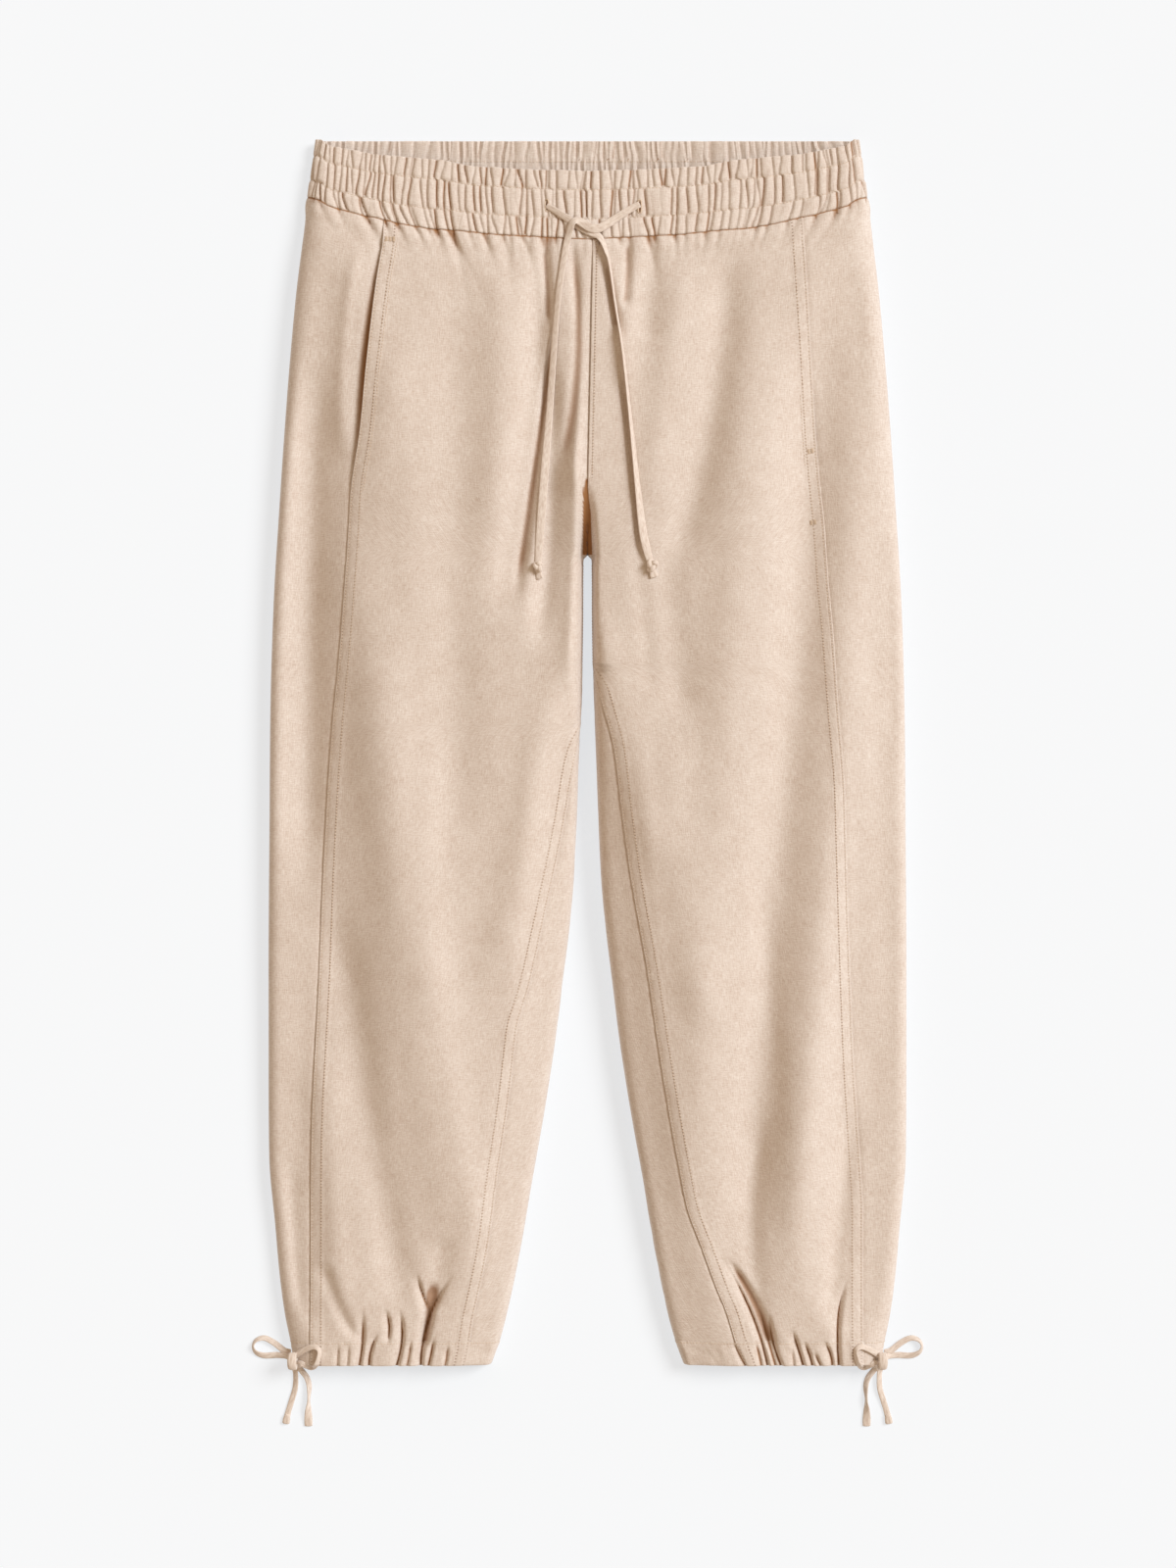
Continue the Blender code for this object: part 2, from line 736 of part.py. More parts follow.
def share_along(points):
    """Share of each point along its row."""
    moves = np.linalg.norm(np.diff(points, axis=0), axis=1)
    along = np.concatenate([[0.0], np.cumsum(moves)])
    return along / along[-1]


def drape_tree(cloths):
    """Search tree over the outer surfaces of the cloth pieces."""
    verts = []
    faces = []
    for obj in cloths:
        first = len(verts)
        verts.extend(v.co.copy() for v in obj.data.vertices)
        faces.extend([first + i for i in f.vertices] for f in obj.data.polygons)
    return BVHTree.FromPolygons(verts, faces)


def outward(mesh):
    """Above zero when a surface faces away from the middle of its leg."""
    total = 0.0
    for face in mesh.polygons:
        up = 1.0 if face.center.z > 0.0065 else -1.0
        total += face.area * face.normal.z * up
    return total


def panel(name, side, part, material):
    """A front or back, row by row from the waist seam to the casing."""
    rows = []
    for n, (level, share) in enumerate(ROWS):
        row = Row(side, level, share)
        seam = row.side_seam()
        inner = row.inner_seam()
        gap = SEAM_GAP / 2
        if part == "front":
            start, end, count = inner + 1.3 * gap, seam - gap, FRONT_COLUMNS
            end -= pocket_mouth(side, level)
        else:
            start, end, count = seam + gap, row.loop + inner - 1.3 * gap, BACK_COLUMNS
        guards = (start + SEAM_GUARD, end - SEAM_GUARD)
        at = row.even(guards[0], guards[1], count)
        at = np.concatenate([[start], at, [end]])
        dent = None
        if n == 0:
            marks, depths = waist_marks(row, side)
            at = merge_marks([], marks, start, end, 1.2)
            dent = np.interp(at, marks, depths)
        elif level < -440.0:
            marks = row.hem_columns(start, end)
            at = merge_marks(at, marks, start, end, 2.4)
        rows.append(row.points(at, dent))
    return cloth(name, rows, PANEL_WALL, material)


def waistband(name, material):
    """The gathered ring, rows from its upper edge to the waist seam."""
    rings = []
    for share, depth in ((0.0, 0.55), (0.45, 1.0), (1.0, 1.0)):
        ring = []
        for side in (RIGHT, LEFT):
            row = Row(side, WAIST_SEAM_LEVEL, height=band_height(share))
            at, deep = waist_marks(row, side)
            points = row.points(at, deep * depth)
            ring.append(points if side == RIGHT else points[::-1])
        rings.append(np.concatenate(ring))
    return cloth(name, rings, BAND_WALL, material, closed=True)


def band_height(share):
    """Height y round the band at a share of the way down it."""

    def height(p, h):
        upper = np.where(p >= 0, straight(FRONT_TOP_EDGE, 1, h), BACK_TOP_EDGE)
        lower = WAIST_SEAM_LEVEL + waist_rise(p, h) + 1.4 * SEAM_GAP
        return upper + share * (lower - upper)

    return height


def casing(name, side, material):
    """The hem turned up into a gathered tunnel, a ring round one leg."""
    rings = []
    for level in (CASING_TOP - SEAM_GAP, -503.0, HEM):
        row = Row(side, level)
        base = row.even(0.0, row.loop, 22)
        marks = row.hem_columns(0.0, row.loop)
        if not rings:
            shares = merge_marks(base, marks, 0.0, row.loop, 2.4)[:-1] / row.loop
        rings.append(row.points(shares * row.loop))
    return cloth(name, rings, CASING_WALL, material, closed=True)


def cloth_height(x, y):
    """Height of the garment's upper side at a point, 0 beside it."""
    hit = draped.ray_cast(Vector((x * MM, y * MM, 1.0)), Vector((0.0, 0.0, -1.0)))
    return 0.0 if hit[0] is None else hit[0].z / MM


def rest_height(x, y, radius):
    """Height of the middle of a round cord that rests at a point."""
    best = radius
    for share in (0.0, 0.5, 0.87, 1.0):
        rise = radius * math.sqrt(1 - share * share)
        for k in range(8):
            angle = k * math.pi / 4
            out = radius * share
            under = cloth_height(x + out * math.cos(angle), y + out * math.sin(angle))
            best = max(best, under + rise)
    return best + CORD_LIFT


def lay(points, radius):
    """Route points laid on the cloth, for a cord of that radius."""
    flat = through([(x, y, 0.0) for x, y in points], 6.0)
    laid = [rest_height(x, y, radius) for x, y, _ in flat]
    eased = list(laid)
    for n in range(1, len(laid) - 1):
        eased[n] = max(laid[n], (laid[n - 1] + laid[n + 1]) / 2)
    return [(x, y, z) for (x, y, _), z in zip(flat, eased)]


def through(points, pitch):
    """A smooth curve through route points, a point every pitch."""
    route = [Vector(p) for p in points]
    route.insert(0, route[0] * 2 - route[1])
    route.append(route[-1] * 2 - route[-2])
    fine = []
    for n in range(1, len(route) - 2):
        a, b, c, d = route[n - 1 : n + 3]
        count = 12
        for k in range(count):
            t = k / count
            fine.append(
                0.5
                * (
                    2 * b
                    + (c - a) * t
                    + (2 * a - 5 * b + 4 * c - d) * t * t
                    + (3 * b - a - 3 * c + d) * t**3
                )
            )
    fine.append(route[-2])
    fine = np.array([list(v) for v in fine])
    moves = np.linalg.norm(np.diff(fine, axis=0), axis=1)
    along = np.concatenate([[0.0], np.cumsum(moves)])
    count = max(2, int(round(along[-1] / pitch)) + 1)
    want = np.linspace(0, along[-1], count)
    return np.stack([np.interp(want, along, fine[:, k]) for k in range(3)], axis=1)


def outside_knot(points, knot):
    """The part of a route whose square ends are clear of a knot."""
    centre = np.array(knot[0])
    half = np.array(knot[1]) + SEAM_GAP
    fine = through([tuple(p) for p in points], 0.25)
    way = np.gradient(fine, axis=0)
    way = way / np.linalg.norm(way, axis=1)[:, None]
    side = np.cross(way, [0.0, 0.0, 1.0])
    side = side / np.maximum(np.linalg.norm(side, axis=1), 1e-6)[:, None]
    up = np.cross(side, way)
    clear = (((fine - centre) / half) ** 2).sum(axis=1) > 1.0
    for k in range(8):
        angle = k * math.pi / 4
        rim = fine + CORD / 2 * (math.cos(angle) * side + math.sin(angle) * up)
        clear = clear & ((((rim - centre) / half) ** 2).sum(axis=1) > 1.0)
    keep = np.nonzero(clear)[0]
    return [tuple(p) for p in fine[keep[0] : keep[-1] + 1 : 4]] + [tuple(fine[keep[-1]])]


def cord(name, points, material, pitch=10.0):
    """A round cord along a route."""
    route = through(points, pitch)
    curve = bpy.data.curves.new(name, "CURVE")
    curve.dimensions = "3D"
    curve.bevel_depth = CORD / 2 * MM
    curve.bevel_resolution = 2
    curve.use_fill_caps = True
    spline = curve.splines.new("POLY")
    spline.points.add(len(route) - 1)
    for point, place in zip(spline.points, route):
        point.co = (*[c * MM for c in place], 1.0)
    curve.materials.append(material)
    obj = bpy.data.objects.new(name, curve)
    garment.objects.link(obj)
    return obj


def knot_place(knot):
    """Centre and half sizes of a knot that rests on the cloth or table."""
    x, y, a, b, c = knot
    best = c
    for share in (0.0, 0.35, 0.6, 0.8, 0.93):
        rise = c * math.sqrt(1 - share * share)
        for k in range(12):
            angle = k * math.pi / 6
            px = x + a * share * math.cos(angle)
            py = y + b * share * math.sin(angle)
            best = max(best, cloth_height(px, py) + rise)
    return (x, y, best + CORD_LIFT), (a, b, c)


def anchor(point, place):
    """A point inside a knot, towards the cord's first route point."""
    centre = np.array(place[0])
    toward = np.array(point) - centre
    return tuple(centre + 0.45 * toward * np.array([1.0, 1.0, 0.0]))


def knot(name, place, material):
    """A tied lump: an ellipsoid of ten segments and six rings."""
    centre, half = place
    verts = [(centre[0], centre[1], centre[2] + half[2])]
    for r in range(1, 6):
        for s in range(10):
            lat = math.pi * r / 6
            lon = 2 * math.pi * s / 10
            verts.append(
                (
                    centre[0] + half[0] * math.sin(lat) * math.cos(lon),
                    centre[1] + half[1] * math.sin(lat) * math.sin(lon),
                    centre[2] + half[2] * math.cos(lat),
                )
            )
    verts.append((centre[0], centre[1], centre[2] - half[2]))
    faces = []
    for s in range(10):
        n = (s + 1) % 10
        faces.append((0, 1 + s, 1 + n))
        for r in range(4):
            a = 1 + 10 * r
            faces.append((a + s, a + 10 + s, a + 10 + n, a + n))
        faces.append((51, 41 + n, 41 + s))
    mesh = bpy.data.meshes.new(name)
    mesh.from_pydata([[c * MM for c in v] for v in verts], [], faces)
    mesh.materials.append(material)
    mesh.polygons.foreach_set("use_smooth", [True] * len(mesh.polygons))
    obj = bpy.data.objects.new(name, mesh)
    garment.objects.link(obj)
    return obj


def make_material(name, colour, roughness):
    material = bpy.data.materials.new(name)
    material.use_nodes = True
    shader = material.node_tree.nodes["Principled BSDF"]
    shader.inputs["Base Color"].default_value = (*colour, 1.0)
    shader.inputs["Roughness"].default_value = roughness
    return material


# --------------------------------------------------------------------- build
for old in list(bpy.data.objects):
    bpy.data.objects.remove(old)
garment = bpy.data.collections.new("linen_drawstring_trousers")
bpy.context.scene.collection.children.link(garment)

linen = make_material("plain-weave linen", (0.70, 0.56, 0.44), 0.92)
tape = make_material("linen cord", (0.72, 0.60, 0.47), 0.88)

cloths = [waistband("waistband", linen)]
for side, word in ((RIGHT, "right"), (LEFT, "left")):
    cloths.append(panel("front_panel_" + word, side, "front", linen))
    cloths.append(panel("back_panel_" + word, side, "back", linen))
    cloths.append(casing("hem_casing_" + word, side, linen))
draped = drape_tree(cloths)

middle = knot_place(WAIST_KNOT)
knot("drawstring_knot", middle, tape)
for side, word in ((RIGHT, "right"), (LEFT, "left")):
    run = outside_knot(lay(RUNS[side], CORD / 2), middle)
    cord("drawstring_run_" + word, run, tape, 8.0)
    end = knot_place(END_KNOTS[side])
    tail = outside_knot(lay(TAILS[side], CORD / 2), middle)
    tail = outside_knot(tail, end)
    cord("drawstring_tail_" + word, tail, tape, 12.0)
    knot("drawstring_end_" + word, end, tape)

    x, y, a, b, c = BOW_KNOT
    bow = knot_place((side * x, y, a, b, c))
    knot("bow_knot_" + word, bow, tape)
    x, y, a, b, c = BOW_END
    bow_end = knot_place((side * x, y, a, b, c))
    knot("bow_end_" + word, bow_end, tape)
    for part, table in BOW_ROUTES.items():
        route = [(side * x, y, z) for x, y, z in table]
        route.insert(0, anchor(route[0], bow))
        if part.startswith("loop"):
            route.append(anchor(route[-1], bow))
        route = outside_knot(route, bow)
        route = outside_knot(route, bow_end)
        cord("bow_" + part + "_" + word, route, tape, 5.5)
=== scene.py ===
"""Linen drawstring trousers laid flat on their back: cloth, stitching and cords.

The waist points along +Y, the wearer's left is +X and the front faces +Z.
Lengths are in millimetres until a mesh is made.  One leg section, worked out
from the tables, gives every cloth surface: a point of the cloth is a length
round a section and a level along the leg, moved in or out by the relief.
"""

import math
from functools import partial

import bmesh
import bpy
import numpy as np
from bpy.props import FloatProperty, FloatVectorProperty, PointerProperty
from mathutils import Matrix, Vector
from mathutils.bvhtree import BVHTree


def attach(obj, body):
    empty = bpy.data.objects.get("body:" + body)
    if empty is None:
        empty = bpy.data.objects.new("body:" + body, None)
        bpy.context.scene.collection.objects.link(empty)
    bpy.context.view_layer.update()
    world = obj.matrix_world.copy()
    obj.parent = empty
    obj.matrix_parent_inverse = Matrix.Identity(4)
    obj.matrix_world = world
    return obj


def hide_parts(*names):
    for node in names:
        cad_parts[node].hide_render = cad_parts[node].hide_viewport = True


bl_info = {
    "name": "Linen Drawstring Trousers",
    "version": (1, 0, 0),
    "blender": (4, 5, 0),
    "location": "View3D > Sidebar > Trousers",
    "description": "Dresses the packed trousers in gathered linen, stitching and cords",
    "category": "Object",
}

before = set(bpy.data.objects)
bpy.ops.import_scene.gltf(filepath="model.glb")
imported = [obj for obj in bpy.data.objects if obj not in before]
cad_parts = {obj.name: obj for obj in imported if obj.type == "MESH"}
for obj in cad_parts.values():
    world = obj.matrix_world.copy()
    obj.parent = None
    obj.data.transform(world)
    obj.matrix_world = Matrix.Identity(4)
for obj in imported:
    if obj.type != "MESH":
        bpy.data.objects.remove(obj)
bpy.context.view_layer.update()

# ---------------------------------------------------------------- dimensions
MM = 0.001
RIGHT, LEFT = -1, 1
SIDES = ((RIGHT, "right"), (LEFT, "left"))

# Walls of the cloth, and how deep the casing's and the band's insides lie.
PANEL_WALL, CASING_WALL, LEAST_WALL = 1.1, 0.7, 0.5
CASING_DEPTH, BAND_DEPTH = 1.9, 2.6
# Rise of the band's folded edge, and how far the panels go up inside the band.
BAND_FOLD, TUCK = 1.2, 6.0
# Levels along the legs.
WAIST_SEAM_LEVEL, CROTCH, CASING_TOP, HEM = 427.2, 164.8, -492.0, -512.5
# Leg section: rounding under the outer edge and under the groin, width and rim
# of the slope at the inner edge, where the outer slope starts, the slit's floor.
UNDER_EDGE, UNDER_GROIN, GROIN_WIDTH, GROIN_RIM, LEDGE = 12.0, 14.0, 46.0, 6.0, 0.22
GROIN_SILL, GROIN_DROP = 0.9, 1.0
# Seams: lap of panel over panel, felled strip, a pocket's gape at its widest.
LAP, FELL, POCKET_GAPE = 5.0, 10.4, 1.3
# Rows of stitches: distances from an edge, and shares of the way down the band.
STITCH_ROWS = (1.6, 9.2)
CENTRE_ROW = 3.4
BAND_STITCHES = (0.27, 0.70)
# Stitches: pitch, length, width.
SEAM_STITCH, BAND_STITCH, TACK_STITCH = (2.6, 1.9, 0.55), (2.9, 2.0, 0.6), (3.0, 3.0, 0.5)
# Creases are steep on one side and gentle on the other; those of the hem have
# a narrow core, a brown line of painted shade, and lean inwards up the back.
STEEP, GENTLE, HEM_CORE, HEM_SHADE_LINE, HEM_LEAN = 0.55, 1.35, 0.8, 1.3, 0.15
# Least height over the ground, and a distance that stands for no edge near.
FLOOR_CLEAR, FAR = 0.05, 99.0

# Long folds: the shares of their run between which they have their full height,
# how deep a dark one is where its painted shade is full brown, and the most
# painted shade it gets.
FOLD_FULL, FULL_SHADE_DEPTH, MOST_FOLD_SHADE = (0.22, 0.82), 6.6, 0.78
# Hem creases and gathers: shares of the soft dip and of the narrow core, and
# how deep a crease is where its painted shade is full brown.
CREASE_SHARES, GATHER_SHARES, CREASE_SHADE_DEPTH = (0.55, 0.45), (0.62, 0.38), 3.5
# Beside a seam: rise of the felled strip and where its puckers end, dip and
# spread of a row of stitches, height and pitch of the puckers.
FELL_RISE, FELL_END, ROW_DIP, ROW_SPREAD = 0.45, FELL + 3.0, 0.30, 0.8
SEAM_PUCKER, SEAM_PUCKER_PITCH = 0.24, 3.6
# How far cloth sinks under what laps over it: at the centre front, at the side
# seam, at an open pocket besides, at the inner seam.
CENTRE_SINK, SIDE_SINK, POCKET_SINK, INNER_SINK = 1.4, 0.75, 2.0, 0.85
# An open pocket: how much farther the back reaches under the front, how far the
# front's lip stands up and how far in that fades.
POCKET_REACH, LIP_RISE, LIP_FADE = 3.0, 1.3, 7.0
# Under the waist seam: height, place and spread of the puff, how far down the
# puckers have painted brown shade, depth of the seam's groove and of the cloth
# in the band.
WAIST_PUFF, WAIST_PUFF_BELOW, WAIST_PUFF_WIDE, PUCKER_SHADE_RUN = 1.3, 8.0, 7.0, 28.0
SEAM_GROOVE, TUCKED_DEPTH = 1.0, 2.2
# Waistband outside: share by which its stitches pinch the gathers, how deep the
# stitches, the ruck beside them and the lower edge sink, depth of a buttonhole.
BAND_PINCH, BAND_ROW_SINK, RUCK_SINK, BAND_EDGE_SINK = 0.35, 0.65, 0.40, 0.35
HOLE_DEPTH = 1.2
# Waistband inside: share of the gathers' depth, how far they are moved round
# and how deep the stitches sink.  Then how fast the painted shade in a gather
# comes in.
INSIDE_SHARE, INSIDE_SHIFT, INSIDE_ROW_SINK, GATHER_SHADE_POWER = 0.85, 3.1, 0.3, 1.8
# Casing: depth of the groove at its upper edge, height of its puckers.
CASING_GROOVE, CASING_PUCKER = 0.10, 0.35
# Keeps the places at which uneven relief is asked for above zero.
RELIEF_SHIFT = 900.0

# Places p round a leg's section: over the front from 3 to 0, under the back to
# -3, and the start of the front again.  Then the indices of p = 1, 0 and -3,
# and how far apart rows are kept in a look-up.
PLACES = np.concatenate(
    [np.linspace(3, 0, 241), np.linspace(0, -3, 241)[1:], np.linspace(3, 1.6, 113)[1:]]
)
SLOPE, OUTER, LOOP_END = 160, 240, 480
ROW_STEP = 10000.0
LATTICE = 96

# Waist gathers: how many on a half, the share missing in each third of the
# band, the least pitch, the share of faint puckers under the seam.
GATHERS = 84
GATHERS_MISSING = (0.0, 0.10, 0.14)
LEAST_GATHER = 1.8
PUCKERS_FAINT = 0.42
GATHER_SEED = 11
# Levels in the band between which a gather runs straight, and the zones of
# its strength.
GATHER_LEVELS = (0.0, 0.25, 0.29, 0.68, 0.72, 1.0)
STRENGTH_LEVELS = (0.0, 0.245, 0.295, 0.675, 0.725, 1.0)
# Rounding of a gather's bottom, its spread in the band and in the panels, and
# the spread of the puffs between gathers.
GATHER_SHARP, GATHER_SPREAD, PUCKER_SPREAD, PUFF_SPREAD = 0.25, 0.85, 1.5, 2.6
# Columns of the band's half ring, of a casing, of a front and, round its outer
# edge and on, of a back.  Rows of a casing's outside.
BAND_COLUMNS, CASING_COLUMNS, FRONT_COLUMNS, BACK_COLUMNS = 760, 420, 102, (30, 42)
CASING_ROWS = 14
# Levels from which a panel's rows run down to the next, and how many.
PANEL_ROWS = (
    (WAIST_SEAM_LEVEL + TUCK, 5),
    (WAIST_SEAM_LEVEL, 55),
    (350.0, 37),
    (235.0, 49),
    (155.0, 146),
    (-410.0, 54),
)
# How far below the seam the puckers are worked out.
PUCKER_REACH = 130.0
# Seeds of the uneven relief: strips at the side, inner, front and back seams,
# casing, ruck beside the band's stitches, crumples.
SIDE_SEED, INNER_SEED, CENTRE_SEED, BACK_SEED, CASING_SEED = 300, 310, 320, 330, 350
RUCK_SEED, CRUMPLE_SEED = 60, 40
# Upper and lower ends of the rows of stitches on the fronts.
SIDE_STRETCH, INNER_STRETCH = (428.0, -491.0), (158.0, -491.0)
CENTRE_STRETCH = (430.0, 230.0)
# Points round the closed tubes: buttonholes, knots and wraps of the bows, and
# the sides of a tube and of a tape, whose ring is a superellipse of this power.
HOLE_POINTS, KNOT_POINTS, WRAP_POINTS = 160, 96, 56
TUBE_SIDES, TAPE_SIDES, TAPE_POWER = 10, 12, 2.6
ROUTE_PITCH = 1.2

# Half outline and puff of one leg at a height y along it.
# y, outer edge, top of the puff, height of the outer edge, width of the slope
# to the top, width of the rounded rim, share of the height that the rim takes
BODY = [
    (512.5, 228, 15, 7, 14, 14, 1), (485.4, 232.1, 17, 7.5, 16, 16, 1),
    (453.5, 236.2, 20, 8, 20, 20, 1), (427.2, 239, 24, 9, 36, 22, 0.93),
    (382.9, 243.9, 30, 10, 66, 18, 0.68), (317.3, 249.7, 36, 11, 96, 13, 0.46),
    (251.7, 254.6, 40, 11, 110, 11, 0.38), (196, 258.3, 41, 11, 116, 10, 0.34),
    (136.9, 262, 41, 11, 118, 10, 0.32), (54.9, 264.9, 40, 11, 118, 10, 0.32),
    (-68.1, 266.1, 38, 11, 116, 10, 0.32), (-191.1, 266.9, 36, 10, 114, 10, 0.32),
    (-273.1, 266.9, 34, 9, 110, 10, 0.33), (-338.7, 266.5, 31, 8, 104, 10, 0.36),
    (-396.1, 261.6, 28, 7, 94, 11, 0.4), (-445.3, 257.1, 26, 6, 80, 13, 0.48),
    (-474, 253, 24.5, 5.5, 64, 18, 0.62), (-492, 249.3, 23.5, 5, 48, 26, 0.82),
    (-512.5, 246, 22, 4.5, 34, 34, 1),
]

# Inner edge of one leg, from the crotch down.
# y, inner edge
INNER = [
    (512.5, 0), (164.8, 0), (161.4, 3.1), (153.3, 3.6), (104.1, 3.9), (54.9, 4.9),
    (5.7, 6.7), (-68.1, 9.4), (-129.6, 13.1), (-191.1, 20.5), (-244.4, 27.1),
    (-301.8, 36.1), (-359.2, 46.3), (-416.6, 56.2), (-474, 68.1), (-492, 73),
    (-512.5, 80.4),
]

# The groin: above 230 the fronts meet level, below it they sink to the crotch
# point at 164.8, and from there the leg is a closed tube.
# y, share of the puff left at the front's inner end, height of the inner
# seam, how far the front's end stands over the back's, share of the height
# that the inner rim takes
GROIN = [
    (512.5, 1, 0, 1.7, 1), (230, 1, 0, 1.7, 1), (214, 0.9, 0, 1.7, 0.98),
    (196, 0.62, 0, 1.7, 0.95), (180, 0.3, 0, 1.7, 0.92), (164.8, 0, 0, 1.7, 0.9),
    (153.3, 0, 6, 0.45, 0.88), (104.1, 0, 10, 0.2, 0.88), (54.9, 0, 12, 0, 0.8),
    (-60, 0, 12, 0, 0.52), (-191.1, 0, 11, 0, 0.45), (-445.3, 0, 8, 0, 0.55),
    (-512.5, 0, 5, 0, 0.62),
]

# Side seams, set forward of the outer edge.
# y, seam from the centre line
SIDE_SEAM = {
    RIGHT: [
        (445.3, 169.7), (427.2, 171), (392, 176.7), (322.3, 184.9), (262.4, 190.6),
        (223, 196.4), (169.7, 199.7), (77.9, 207), (20.5, 212.8), (-60.7, 218.5),
        (-191.1, 224.3), (-338.7, 230.8), (-512.5, 231.6),
    ],
    LEFT: [
        (447.7, 179.2), (228, 193.1), (195.2, 196.4), (162.4, 198.8), (136.9, 200.5),
        (100.9, 203.8), (32, 208.7), (-26.2, 213.6), (-77.9, 215.2), (-196.8, 219.3),
        (-267.3, 222.6), (-338.7, 227.5), (-385.4, 230), (-512.5, 230),
    ],
}

# Inner-leg seams, which come over on to the front below the knee.
# y, seam from the inner edge
INNER_SEAM = {
    RIGHT: [
        (22.1, 0), (-18.9, 4.9), (-68.1, 11.5), (-133.7, 21.3), (-196.8, 27.5),
        (-232.1, 33.2), (-291.1, 31.2), (-350.1, 29.5), (-420.7, 27.1), (-467.4, 27.5),
        (-512.5, 22.1),
    ],
    LEFT: [
        (71.3, 0), (42.6, 5.7), (9, 13.9), (-49.2, 19.7), (-95.1, 23.8), (-150.1, 28.7),
        (-250.9, 31.6), (-345.2, 32), (-378, 32.8), (-413.3, 39.4), (-444.4, 44.7),
        (-472.3, 49.6), (-512.5, 50.4),
    ],
}

# Pocket mouths in the side seams, where the front's edge stands away.
# upper y, lower y, how far it stands away
POCKETS = {RIGHT: (427, 214, 1.3), LEFT: (300, 236, 0.3)}

# Waist seam and upper edge of the band.
# distance from the centre line, height y
FRONT_WAIST_SEAM = [
    (0, 427.2), (77.9, 431.3), (106.6, 434.6), (129.6, 436.2), (150.9, 440.3),
    (168.1, 445.3), (178.8, 447.7), (199.3, 454.3), (216.5, 460.8), (232.9, 463.3),
    (240, 464.1),
]
BACK_WAIST_SEAM = [(0, 453.5), (164, 455.1), (213.2, 460), (240, 464.1)]
FRONT_TOP_EDGE = [
    (0, 485.4), (49.2, 486.7), (94.3, 489.5), (115.6, 494.5), (168.1, 499.4),
    (209.1, 507.6), (228, 512.5), (240, 512.5),
]
BACK_TOP_EDGE = 512.5

# Long folds on the front, a ridge where the height is above zero.
# upper y and x, middle y and x, lower y and x, half width above and below, height
FRONT_FOLDS = {
    RIGHT: [
        (343, 155, 238, 179, 93, 195, 18, 22, 3.2),
        (204, 195, -57, 162, -472, 86, 28, 24, 7.1),
        (423, 110, 200, 110, -108, 111, 20, 23, -4.3),
        (428, 75, 330, 71, 172, 84, 14, 16, 2.9),
        (354, 227, 120, 235, -131, 234, 14, 18, -6.7),
        (-102, 214, -247, 191, -482, 152, 18, 16, -5.6),
        (-233, 222, -351, 215, -486, 206, 16, 14, 4.6),
        (143, 9, 18, 32, -213, 81, 15, 20, 4.3),
        (29, 128, -110, 132, -240, 120, 14, 14, 2.3),
    ],
    LEFT: [
        (423, 84, 325, 68, 190, 48, 13, 15, 3.4),
        (429, 117, 284, 103, 133, 64, 15, 17, -6.8),
        (172, 64, 100, 71, 21, 80, 15, 15, -3.1), (131, 7, 15, 30, -112, 60, 14, 19, 3.8),
        (428, 146, 62, 117, -419, 84, 23, 22, 4.9),
        (422, 195, 61, 170, -475, 124, 22, 19, -10.8),
        (378, 232, -95, 204, -483, 164, 22, 20, 8.9),
        (40, 67, -91, 76, -241, 98, 21, 21, 4.3),
        (101, 232, -60, 233, -260, 235, 13, 13, 2.8),
    ],
}

# Folds of the underside.  The cloth rests flat, so they only rise from it.
BACK_FOLDS = {
    RIGHT: [
        (400, 150, 150, 138, -120, 150, 14, 16, 3),
        (60, 84, -160, 110, -430, 130, 14, 14, 3.5),
        (-150, 196, -300, 190, -460, 180, 12, 12, 2.5),
    ],
    LEFT: [
        (390, 96, 180, 118, -60, 124, 14, 16, 3),
        (120, 188, -130, 176, -420, 158, 14, 14, 3.5),
        (-120, 84, -290, 100, -460, 116, 12, 12, 2.5),
    ],
}

# Creases that the hem cord draws up in the fronts, listed with the crease's
# three points from above.  The last number is 1 where it dies out below.
# y and x above, y and x half way, y and x below, half width, depth, dies
HEM_CREASES = {
    RIGHT: [
        (-462, 187.8, -483, 187, -512.5, 190.3, 3.4, 5.4, 0),
        (-462, 169.6, -478, 165.2, -495, 167.2, 3, 5.1, 1),
        (-482, 173, -499.4, 180.4, -512.5, 182, 3, 5.1, 0),
        (-462, 157.4, -483, 154.3, -512.5, 159.2, 3.4, 6.3, 0),
        (-432, 110, -470, 130.8, -512.5, 138.8, 3.9, 8.1, 0),
        (-432, 143, -453.5, 137, -474, 129.5, 3.4, 5.4, 1),
        (-486, 127.8, -501, 130, -512.5, 132.7, 2.8, 4.2, 0),
        (-493, 116.4, -502.7, 116.8, -512.5, 118.5, 2.3, 3, 0),
        (-488, 147, -500, 148, -512.5, 150.4, 2.5, 3, 0),
        (-493, 199, -503, 199.4, -512.5, 200.2, 2.3, 2.1, 0),
        (-493, 207.5, -503, 208, -512.5, 208.4, 2.3, 2.4, 0),
    ],
    LEFT: [
        (-418, 110, -468, 136.6, -512.5, 150.6, 3.2, 6.6, 0),
        (-462, 143, -484, 149, -512.5, 157, 3, 4.6, 0),
        (-466, 151.4, -488, 154.2, -512.5, 161.9, 3.2, 6, 0),
        (-480, 170, -496.5, 175.5, -512.5, 180.4, 3.2, 6, 0),
        (-490, 180, -501, 184.6, -512.5, 188, 2.8, 4.8, 0),
        (-500, 189.4, -506, 191.8, -512.5, 194.8, 2.3, 3, 0),
        (-490, 196.6, -502.7, 202.8, -512.5, 204.4, 3, 5.1, 0),
        (-436, 218, -473.8, 210.3, -512.5, 210.2, 3.2, 6.3, 0),
        (-489, 139.6, -500, 142.6, -512.5, 145.3, 2.5, 3.6, 0),
        (-496, 171, -504, 171.6, -512.5, 172.4, 2.3, 2.4, 0),
        (-490, 121, -501, 126, -512.5, 132, 2.8, 3, 0),
    ],
}

